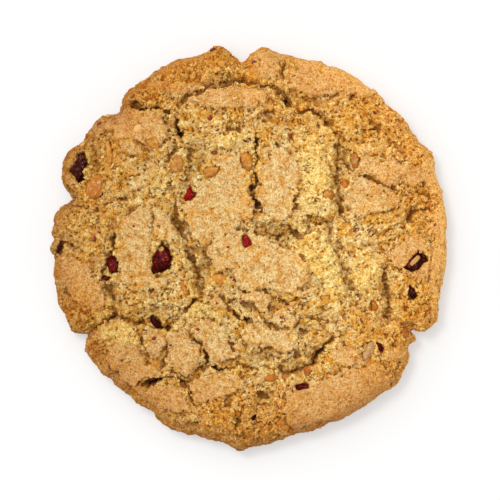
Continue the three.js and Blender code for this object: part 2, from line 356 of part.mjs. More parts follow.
// Pieces of almond, in the same terms
const ALMONDS = [
  { thickness: 2.6, lift: 0.6, outline: [[-18.9, 22.9], [-17.6, 23.6], [-16.1, 22.9],
    [-15.6, 21.1], [-16.1, 19.6], [-17.4, 18.6], [-19.3, 18.9], [-19.8, 20.4], [-19.1, 21.6]] },
  { thickness: 2.2, lift: 0.4, outline: [[-11.3, 19.1], [-10.1, 20.6], [-8.1, 20.4],
    [-6.8, 20.5], [-7.6, 18.6], [-8.9, 17.5], [-10.6, 17.5]] },
  { thickness: 2.4, lift: 0.5, outline: [[-2.1, 23.6], [-0.6, 24.1], [0.9, 23.1], [1.3, 21.1],
    [1.1, 19.4], [-0.4, 19.1], [-1.6, 20.1], [-2.1, 21.9]] },
  { thickness: 2.2, lift: 0.4, outline: [[-9.4, -6.9], [-7.6, -6.1], [-4.9, -6.4], [-5.4, -8.1],
    [-6.9, -9.6], [-8.4, -8.6]] },
  { thickness: 1.8, lift: 0.3, outline: [[-17.1, -7.9], [-16.1, -7.6], [-15.5, -9.4],
    [-14.6, -11.4], [-15.6, -12.1], [-16.9, -10.4]] },
  { thickness: 2, lift: 0.5, outline: [[17.9, 13.4], [19.1, 14.9], [20.6, 14.6], [21.6, 13.6],
    [20.9, 12.1], [19.1, 12.1]] },
  { thickness: 1.8, lift: 0.4, outline: [[23.1, 16.9], [24.1, 17.4], [25.1, 16.6], [25.1, 15.1],
    [24.1, 14.9], [23.1, 15.6]] },
  { thickness: 1.8, lift: 0.5, outline: [[3.9, -32.4], [4.9, -31.2], [6.6, -31.4], [7.6, -32.1],
    [6.6, -33.1], [4.6, -33.1]] },
  { thickness: 1.8, lift: 0.4, outline: [[13.6, -29.6], [15.1, -29.4], [15.9, -30.6],
    [15.1, -31.9], [13.9, -31.1]] },
  { thickness: 2.2, lift: 0.5, outline: [[30.4, -22.9], [31.5, -23.4], [31.7, -25.2],
    [30.8, -27.1], [29.7, -28.3], [28.4, -28.3], [28.4, -26.6], [29.1, -24.6]] },
  { thickness: 1.6, lift: 0.3, outline: [[30.6, -13.1], [31.6, -13.1], [32.4, -14.6],
    [31.9, -15.9], [30.9, -15.6]] },
  { thickness: 1.8, lift: 0.3, outline: [[37.9, -19.9], [39.2, -19.6], [40.1, -20.7],
    [40, -22.2], [38.8, -22.8], [38.1, -21.4]] },
  { thickness: 2.2, lift: 0.3, outline: [[25.4, 23.9], [27.2, 24.1], [27.8, 22.1], [27.3, 19.7],
    [26.1, 19.6], [25.4, 21.9]] },
  { thickness: 1.9, lift: 0.3, outline: [[15.1, -6.9], [16.1, -6.1], [17.6, -7.1], [18.1, -8.9],
    [16.9, -9.4], [15.6, -8.6]] },
  { thickness: 2, lift: 0.3, outline: [[-25.6, 26.9], [-23.3, 27.9], [-21.8, 26.6],
    [-22.3, 24.8], [-24.6, 24.7]] },
  { thickness: 2, lift: 0.4, outline: [[-36, 26.9], [-34.8, 27], [-34.1, 25.1], [-33.6, 22.6],
    [-34.1, 20.3], [-35.2, 21.1], [-35.7, 24.1]] },
  { thickness: 1.6, lift: 0.3, outline: [[8.2, -31.9], [9.4, -31.1], [10.1, -32.1],
    [8.9, -33]] },
  { thickness: 1.4, lift: 0.3, outline: [[-1.6, -28.9], [-0.1, -29.2], [-0.3, -30.3],
    [-1.6, -30.1]] },
  { thickness: 2, lift: 0.4, outline: [[-40.7, 13.9], [-40.5, 16.2], [-38.9, 18], [-36.9, 18.6],
    [-36.1, 17.1], [-36.4, 13.4], [-38.4, 12.1], [-40.1, 12.5]] },
  { thickness: 1.8, lift: 0.1, outline: [[-17.1, -33.1], [-16.1, -33.1], [-15.1, -34.4],
    [-15.3, -35.2], [-16.3, -35.2], [-17.3, -34.2]] },
];

const COLOURS = {
  cookie: 0xd9a561,
  cranberry: 0x6b1218,
  almond: 0xcf8b3f,
};

// ---------------------------------------------------------------- small tools

const rad = THREE.MathUtils.degToRad;
const { clamp, smoothstep } = THREE.MathUtils;

// A whole number turned into an even spread of fractions, the same each time
function hash(i, j) {
  let h = (Math.imul(i, 374761393) + Math.imul(j, 668265263)) | 0;
  h = Math.imul(h ^ (h >>> 13), 1274126177);
  return ((h ^ (h >>> 16)) >>> 0) / 4294967296;
}

// Smooth random relief between -1 and 1, one swell for each unit of length
function swell(u, v, layer) {
  const i = Math.floor(u);
  const j = Math.floor(v);
  const a = smoothstep(u - i, 0, 1);
  const b = smoothstep(v - j, 0, 1);
  const corner = (di, dj) => hash(i + di + 57 * layer, j + dj - 91 * layer);
  const near = THREE.MathUtils.lerp(corner(0, 0), corner(1, 0), a);
  const far = THREE.MathUtils.lerp(corner(0, 1), corner(1, 1), a);
  return 2 * THREE.MathUtils.lerp(near, far, b) - 1;
}

// Distance of a point from an oval's centre, where 1 is on the oval
function ovalReach(x, y, [cx, cy, halfLength, halfWidth, turn]) {
  const c = Math.cos(rad(turn));
  const s = Math.sin(rad(turn));
  const along = (x - cx) * c + (y - cy) * s;
  const across = (y - cy) * c - (x - cx) * s;
  return Math.hypot(along / halfLength, across / halfWidth);
}

// The strongest of some ovals' fields, each of which fades out past its rim
function ovalField(x, y, ovals) {
  let field = 0;
  for (const oval of ovals) {
    field = Math.max(field, oval[5] * smoothstep(1.3 - ovalReach(x, y, oval), 0, 1));
  }
  return field;
}

// How far inside an outline a point is, below 0 when it is outside
function insideDepth(x, y, outline) {
  let nearest = Infinity;
  let inside = false;
  outline.forEach(([ax, ay], k) => {
    const [bx, by] = outline[(k + 1) % outline.length];
    const dx = bx - ax;
    const dy = by - ay;
    const t = clamp(((x - ax) * dx + (y - ay) * dy) / (dx * dx + dy * dy), 0, 1);
    nearest = Math.min(nearest, Math.hypot(x - ax - dx * t, y - ay - dy * t));
    if (ay > y !== by > y && x < ax + ((y - ay) * dx) / dy) {
      inside = !inside;
    }
  });
  return inside ? nearest : -nearest;
}

// ---------------------------------------------------------------- the cookie's form

// Radius of the widest level in a direction, from its own centre
function edgeRadius(angle) {
  const direction = THREE.MathUtils.euclideanModulo(THREE.MathUtils.radToDeg(angle), 360);
  let radius = EDGE_RADIUS;
  for (const [middle, reach, spread] of EDGE) {
    const off = Math.abs(direction - middle);
    radius += reach * Math.exp(-((Math.min(off, 360 - off) / spread) ** 2));
  }
  const arc = (rad(direction) * EDGE_RADIUS) / EDGE_GRAIN.size;
  return radius + EDGE_GRAIN.height * swell(arc, 0, 5) * (1 - smoothstep(direction, 275, 300));
}

// The dome's section from the crown to the edge: share of the radius, height, and outward normal,
// at even steps along its own length
function domeSection(steps) {
  const fine = 900;
  const points = [];
  let length = 0;
  for (let k = 0; k <= fine; k += 1) {
    const phi = (k / fine) * (Math.PI / 2);
    const share = Math.sin(phi) ** (2 / DOME_POWER);
    const z = BELLY + (CROWN - BELLY) * Math.max(Math.cos(phi), 0) ** (2 / DOME_POWER);
    const last = points[k - 1];
    length += last ? Math.hypot((share - last.share) * EDGE_RADIUS, z - last.z) : 0;
    points.push({ share, z, length });
  }
  const section = [];
  let k = 0;
  for (let ring = 0; ring <= steps; ring += 1) {
    const target = (ring / steps) * length;
    while (k < fine - 1 && points[k + 1].length < target) {
      k += 1;
    }
    const a = points[k];
    const b = points[k + 1];
    const t = clamp((target - a.length) / (b.length - a.length), 0, 1);
    const run = (b.share - a.share) * EDGE_RADIUS;
    const fall = a.z - b.z;
    const whole = Math.hypot(run, fall);
    section.push({
      share: a.share + (b.share - a.share) * t,
      z: a.z + (b.z - a.z) * t,
      out: fall / whole,
      up: run / whole,
    });
  }
  return section;
}

// Height of the dome at a place inside the edge, before its relief
function domeHeight(x, y) {
  const dx = x - EDGE_CENTRE[0];
  const dy = y - EDGE_CENTRE[1];
  const share = Math.min(Math.hypot(dx, dy) / edgeRadius(Math.atan2(dy, dx)), 0.98);
  return BELLY + (CROWN - BELLY) * (1 - share ** DOME_POWER) ** (1 / DOME_POWER);
}

// How far a point lies under the surface because of a crack
function crackDepth(x, y, { depth, slope, wall, route }) {
  let nearest = Infinity;
  let onLeft = true;
  let run = 0;
  let place = 0;
  for (let k = 0; k < route.length - 1; k += 1) {
    const [ax, ay] = route[k];
    const [bx, by] = route[k + 1];
    const length = Math.hypot(bx - ax, by - ay);
    const ux = (bx - ax) / length;
    const uy = (by - ay) / length;
    const along = clamp((x - ax) * ux + (y - ay) * uy, 0, length);
    const away = Math.hypot(x - ax - ux * along, y - ay - uy * along);
    if (away < nearest) {
      nearest = away;
      onLeft = ux * (y - ay) - uy * (x - ax) >= 0;
      place = run + along;
    }
    run += length;
  }
  const width = Math.max(onLeft ? slope : wall, FACET * 0.75);
  const ends = clamp(Math.min(place, run - place) / ROUTE_END, 0, 1);
  return depth * (0.45 + 0.55 * ends) * smoothstep(1 - nearest / width, 0, 1);
}

// Height of the relief over the plain dome
function relief(x, y) {
  const tear = TEAR.reach * swell(x / TEAR.size, y / TEAR.size, 12);
  let rise = ovalField(x, y, MOUNDS);
  let crust = 0;
  for (const plate of PLATES) {
    const depth = insideDepth(x, y, plate.outline) + tear;
    const inside = smoothstep(depth, -PLATE_EDGE / 2, PLATE_EDGE / 2);
    rise = Math.max(rise, plate.rise * inside);
    crust = Math.max(crust, inside);
  }
  let fall = ovalField(x, y, PITS);
  for (const crack of CRACKS) {
    fall = Math.max(fall, crackDepth(x, y, crack));
  }
  const hollow = ovalField(x, y, HOLLOWS) * (1 - crust);
  const lumps = LUMP.height * swell(x / LUMP.size, y / LUMP.size, 1);
  const crumb = GRAIN.height * swell(x / GRAIN.size, y / GRAIN.size, 2);
  return rise - hollow - fall + lumps * (1 - 0.4 * crust) + crumb * (1 - 0.75 * crust);
}

// The whole cookie as one closed skin: rings of facets over the dome, bands down to the foot, and
// a flat base
function cookieSkin() {
  const positions = [];
  const faces = [];
  const ringStart = [];
  const addPoint = (share, angle, z, out, up, lift) => {
    const reach = share * edgeRadius(angle) + out * lift;
    positions.push(EDGE_CENTRE[0] + reach * Math.cos(angle));
    positions.push(EDGE_CENTRE[1] + reach * Math.sin(angle));
    positions.push(z + up * lift);
  };
  const section = domeSection(RINGS);
  section.forEach(({ share, z, out, up }, ring) => {
    ringStart.push(positions.length / 3);
    const count = Math.max(6 * ring, 1);
    for (let k = 0; k < count; k += 1) {
      const angle = (k / count) * 2 * Math.PI;
      const reach = share * edgeRadius(angle);
      const x = EDGE_CENTRE[0] + reach * Math.cos(angle);
      const y = EDGE_CENTRE[1] + reach * Math.sin(angle);
      const fade = 1 - 0.8 * smoothstep(share, 0.94, 1);
      addPoint(share, angle, z, out, up, relief(x, y) * fade);
    }
  });

  // each of a ring's six sides takes one more facet than the same side of the ring inside it
  for (let ring = 1; ring <= RINGS; ring += 1) {
    const inner = Math.max(6 * (ring - 1), 1);
    const outer = 6 * ring;
    for (let side = 0; side < 6; side += 1) {
      for (let k = 0; k < ring; k += 1) {
        const a = ringStart[ring] + side * ring + k;
        const b = ringStart[ring] + ((side * ring + k + 1) % outer);
        const c = ringStart[ring - 1] + ((side * (ring - 1) + k) % inner);
        faces.push(a, b, c);
        if (k < ring - 1) {
          const d = ringStart[ring - 1] + ((side * (ring - 1) + k + 1) % inner);
          faces.push(b, d, c);
        }
      }
    }
  }

  const around = 6 * RINGS;
  const beltPoint = (band, k) => ringStart[RINGS] + band * around + (k % around);
  for (let band = 1; band <= FOOT_BANDS; band += 1) {
    const turnIn = (band / FOOT_BANDS) * (Math.PI / 2);
    for (let k = 0; k < around; k += 1) {
      const angle = (k / around) * 2 * Math.PI;
      const inset = FOOT_INSET * (1 - Math.cos(turnIn));
      const lumps = band < FOOT_BANDS ? EDGE_GRAIN.height * swell(k * 0.5, band * 0.7, 7) : 0;
      const share = 1 - inset / edgeRadius(angle);
      addPoint(share, angle, BELLY * (1 - Math.sin(turnIn)), 1, 0, lumps);
    }
    for (let k = 0; k < around; k += 1) {
      const a = beltPoint(band - 1, k);
      const b = beltPoint(band - 1, k + 1);
      const c = beltPoint(band, k);
      const d = beltPoint(band, k + 1);
      faces.push(a, c, b, b, c, d);
    }
  }
  const hub = positions.length / 3;
  positions.push(EDGE_CENTRE[0], EDGE_CENTRE[1], 0);
  for (let k = 0; k < around; k += 1) {
    faces.push(beltPoint(FOOT_BANDS, k), hub, beltPoint(FOOT_BANDS, k + 1));
  }
  return skinOf(positions, faces);
}

function skinOf(positions, faces) {
  const skin = new THREE.BufferGeometry();
  skin.setAttribute('position', new THREE.Float32BufferAttribute(positions, 3));
  skin.setIndex(faces);
  return skin;
}

// ---------------------------------------------------------------- pieces set in the dough

// An outline's points in anticlockwise order, each with the direction that leads out at its corner
function corners(outline) {
  let area = 0;
  outline.forEach(([ax, ay], k) => {
    const [bx, by] = outline[(k + 1) % outline.length];
    area += ax * by - bx * ay;
  });
  const points = area > 0 ? outline : [...outline].reverse();
  const away = ([ax, ay], [bx, by]) => {
    const length = Math.hypot(bx - ax, by - ay);
    return [(by - ay) / length, (ax - bx) / length];
  };
  return points.map((point, k) => {
    const before = away(points[(k + points.length - 1) % points.length], point);
    const after = away(point, points[(k + 1) % points.length]);
    const spread = Math.max(1 + before[0] * after[0] + before[1] * after[1], 0.5);
    return { point, out: [(before[0] + after[0]) / spread, (before[1] + after[1]) / spread] };
  });
}

// A piece's skin where it lies: closed rings round its middle, from its top to its underside.
// "uneven" folds or chips its shoulder. With "spare" it is the pocket cut for the piece instead.
function insetSkin({ thickness, lift, outline }, layer, uneven, spare) {
  const ring = corners(outline);
  const middle = [0, 1].map((axis) => ring.reduce((sum, { point }) => sum + point[axis], 0) / ring.length);
  const level = relief(...middle) + lift;
  const positions = [...middle, domeHeight(...middle) + level + (spare > 0 ? OPENING : 0)];
  const addRing = ({ share, drop }, rough, rise) => {
    ring.forEach(({ point, out }, k) => {
      const jut = 1 + rough * (2 * hash(k, layer) - 1);
      const [x, y] = [0, 1].map((axis) => middle[axis] + (point[axis] - middle[axis]) * share * jut);
      const dip = drop * thickness * (1 - rough * (2 * hash(k + 50, layer) - 1));
      positions.push(x + out[0] * spare, y + out[1] * spare, domeHeight(x, y) + level - dip + rise);
    });
  };
  if (spare > 0) {
    addRing(GIRTH, 0, OPENING);
  } else {
    addRing(SHOULDER, uneven, 0);
  }
  addRing(GIRTH, 0, 0);
  addRing(UNDERSIDE, 0, -spare);
  positions.push(...middle, domeHeight(...middle) + level - thickness - spare);

  const count = ring.length;
  const faces = [];
  const at = (row, k) => 1 + row * count + (k % count);
  for (let k = 0; k < count; k += 1) {
    faces.push(0, at(0, k), at(0, k + 1));
    for (let row = 0; row < 2; row += 1) {
      faces.push(at(row, k), at(row + 1, k), at(row, k + 1));
      faces.push(at(row, k + 1), at(row + 1, k), at(row + 1, k + 1));
    }
    faces.push(at(2, k), 1 + 3 * count, at(2, k + 1));
  }
  return skinOf(positions, faces);
}

// ---------------------------------------------------------------- solids

function toSolid(skin) {
  const merged = mergeVertices(skin, 1e-4);
  return new wasm.Manifold(
    new wasm.Mesh({
      numProp: 3,
      vertProperties: new Float32Array(merged.getAttribute('position').array),
      triVerts: new Uint32Array(merged.getIndex().array),
    }),
  );
}

function toSkin(solid) {
  const mesh = solid.getMesh();
  const skin = skinOf(Array.from(mesh.vertProperties), Array.from(mesh.triVerts));
  skin.computeVertexNormals();
  return skin;
}

function largestPiece(solid) {
  return solid.decompose().reduce((best, piece) => (piece.volume() > best.volume() ? piece : best));
}

const insets = [
  ...CRANBERRIES.map((piece, k) => ({ name: `cranberry_${k + 1}`, piece, layer: k, uneven: FRUIT_FOLD })),
  ...ALMONDS.map((piece, k) => ({ name: `almond_${k + 1}`, piece, layer: k + 30, uneven: NUT_CHIP })),
];

function cookieSolid() {
  const dough = toSolid(cookieSkin());
  const pockets = insets.map(({ piece, layer, uneven }) => toSolid(insetSkin(piece, layer, uneven, GAP)));
  return toSkin(largestPiece(dough.subtract(wasm.Manifold.union(pockets))));
}

// ---------------------------------------------------------------- assembly

const finishes = {
  cookie: new THREE.MeshStandardMaterial({ color: COLOURS.cookie, roughness: 0.85, metalness: 0 }),
  cranberry: new THREE.MeshStandardMaterial({ color: COLOURS.cranberry, roughness: 0.35, metalness: 0 }),
  almond: new THREE.MeshStandardMaterial({ color: COLOURS.almond, roughness: 0.6, metalness: 0 }),
};

const group = new THREE.Group();

const cookie = new THREE.Mesh(cookieSolid(), finishes.cookie);
cookie.name = 'cookie';
group.add(cookie);

for (const { name, piece, layer, uneven } of insets) {
  const skin = insetSkin(piece, layer, uneven, 0);
  skin.computeVertexNormals();
  const mesh = new THREE.Mesh(skin, finishes[name.split('_')[0]]);
  mesh.name = name;
  group.add(mesh);
}

export default group;
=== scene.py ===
import math

import bmesh
import bpy
import numpy as np
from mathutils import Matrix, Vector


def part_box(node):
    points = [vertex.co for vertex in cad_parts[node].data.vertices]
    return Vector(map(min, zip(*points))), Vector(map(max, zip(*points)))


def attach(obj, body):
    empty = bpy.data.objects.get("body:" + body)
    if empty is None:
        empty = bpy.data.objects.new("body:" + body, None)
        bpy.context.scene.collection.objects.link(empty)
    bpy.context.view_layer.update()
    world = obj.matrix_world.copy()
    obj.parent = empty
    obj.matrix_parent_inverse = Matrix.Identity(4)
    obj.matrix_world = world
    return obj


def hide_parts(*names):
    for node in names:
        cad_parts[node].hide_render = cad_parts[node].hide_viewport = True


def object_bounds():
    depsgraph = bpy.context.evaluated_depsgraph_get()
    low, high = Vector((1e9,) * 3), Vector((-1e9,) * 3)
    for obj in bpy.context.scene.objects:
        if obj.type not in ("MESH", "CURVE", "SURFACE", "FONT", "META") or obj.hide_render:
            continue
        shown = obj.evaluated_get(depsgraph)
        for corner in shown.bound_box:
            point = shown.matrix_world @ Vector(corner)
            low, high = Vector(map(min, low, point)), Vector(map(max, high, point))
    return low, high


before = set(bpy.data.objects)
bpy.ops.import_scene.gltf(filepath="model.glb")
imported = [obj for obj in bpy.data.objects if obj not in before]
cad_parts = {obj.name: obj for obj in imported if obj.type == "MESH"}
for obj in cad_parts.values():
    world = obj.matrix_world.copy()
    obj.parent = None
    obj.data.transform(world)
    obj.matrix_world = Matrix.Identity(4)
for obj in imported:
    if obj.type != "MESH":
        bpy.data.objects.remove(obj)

# A thick granola cookie seen from straight above: a crust that has cracked into plates over crumbly
# dough, with dried cranberries and almond pieces baked into it. Forms are worked out in
# millimetres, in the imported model's own frame, and put into meshes in metres.

MM = 0.001
CAD_LOW, CAD_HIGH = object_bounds()

# ------------------------------------------------------------------ sizes, as the solid has them

EDGE_RADIUS = 49.2  # mean radius of the widest level
EDGE_CENTRE = (0.46, 0.71)
CROWN = 13.2  # height of the dome at the middle
BELLY = 3.6  # height of the widest level
FOOT_INSET = 3.0  # how far the flat base is drawn in under the widest level
DOME_POWER = 2.7  # how square the dome's section is

SECTION_POINTS = 1801  # points that the dome's section is measured with
LAST_SHARE = 0.98  # furthest share of the radius at which the dome's height is looked up

RINGS = 170  # rings of facets over the dome
SPOKES = 6  # how many points more each ring has than the one inside it
FOOT_BANDS = 7
BASE_RINGS = 2
FACET = 0.31  # size of a facet on the dome

EDGE_GRAIN = (2.6, 0.3)  # size and height of the edge's unevenness
SMOOTH_EDGE = (275, 300)  # directions between which the edge turns even
CALM_EDGE = (0.94, 0.8)  # share of the radius where relief starts to fade, and how much of it fades

LUMP = (5.5, 0.5, 0.4)  # the dough's unevenness: size, height, share that a plate evens out
GRAIN = (2.4, 0.4, 0.75)  # the crumb: size, height, share that a plate evens out
PLATE_EDGE = 0.3  # width of the step down from a plate
TEAR = ((2, 0.5), (0.9, 0.3), (0.45, 0.15))  # how a plate's torn edge strays: swell and reach
FLAKED = ((2.6, 0.7), (0.9, 0.35))  # where a plate's skin has come off: swell and weight
FLAKED_FROM = (0.45, 0.6)  # swell at which it starts to come off, and at which it is off
FLAKED_SHARE = 0.75  # how much of the skin is off there
OVAL_FADE = 0.3  # how far past its rim an oval's relief fades out, as a share of its size
STAIN_FADE = 0.5  # the same for an oval's colour
HOLLOW_DEPTH = 1.25  # depth of a hollow of strength 1

WANDER = ((1.9, 0.6), (0.8, 0.4))  # how a crack strays from its route: swell and reach
BREAK = 2.3  # length over which a crack's depth changes
UNBROKEN = (0.8, 0.5, 0.45, 1.2)  # share of its depth that a crack has: mean, change, least, most
NARROWEST = 0.75 * FACET  # narrowest slope of a crack
CORE = (0.55, 0.6)  # a crack's steep middle: its share of the width, and of the depth
ROUTE_END = (2.5, 0.45)  # length over which a crack runs out, and share of its depth at its end

BED = (1, 0.3)  # least depth and wall of the hollow that a topping lies in
BED_ROOM = 0.4  # how much deeper a bed is than its topping
BED_STRAY = (0.4, 0.2)  # how much a bed's edge strays with the torn edges, less this much of theirs
ROOM = {"cranberry": 0.3, "almond": 0.05}  # room round a topping of each kind
SHOWN = 1.0  # how far a topping's top stands over its bed at least
FAR = 9.0  # further than any relief or outline reaches

BARE = (0.15, 0.8)  # depths between which a crack loses the crust's colour
TOAST_FROM, RIM_FROM, SIDE_FROM = 0.45, 0.88, 0.93  # where these looks start, as shares of the radius
BASE_BAND = 1.2  # height up to which the base's colour reaches

# The edge's lobes and notches: direction, reach, spread (degrees, mm, degrees)
EDGE = (
    (18, 0.4, 7), (27, 1.6, 3.5), (40, 0.5, 2), (51, 0.3, 3), (77, -1.1, 6), (86, 0.8, 2.2),
    (92.4, -3.3, 3.2), (100, 1.3, 3), (112, 0.6, 5), (134.8, -2.5, 3.6), (142, 0.6, 2), (155, 2.3, 5.5),
    (165.4, -3.5, 2.6), (181, 1.3, 1.6), (196, 0.6, 7), (208.8, -3, 2), (230, -1.1, 11), (246, 0.7, 2.2),
    (252, 0.4, 1.5), (266.6, 1.3, 1.8), (269, 1.3, 7), (287, -0.6, 13), (317, 1, 4), (328, -2.4, 3.4),
    (332.2, -3, 1.2), (338, 0.9, 2.5), (350, -0.4, 6),
)

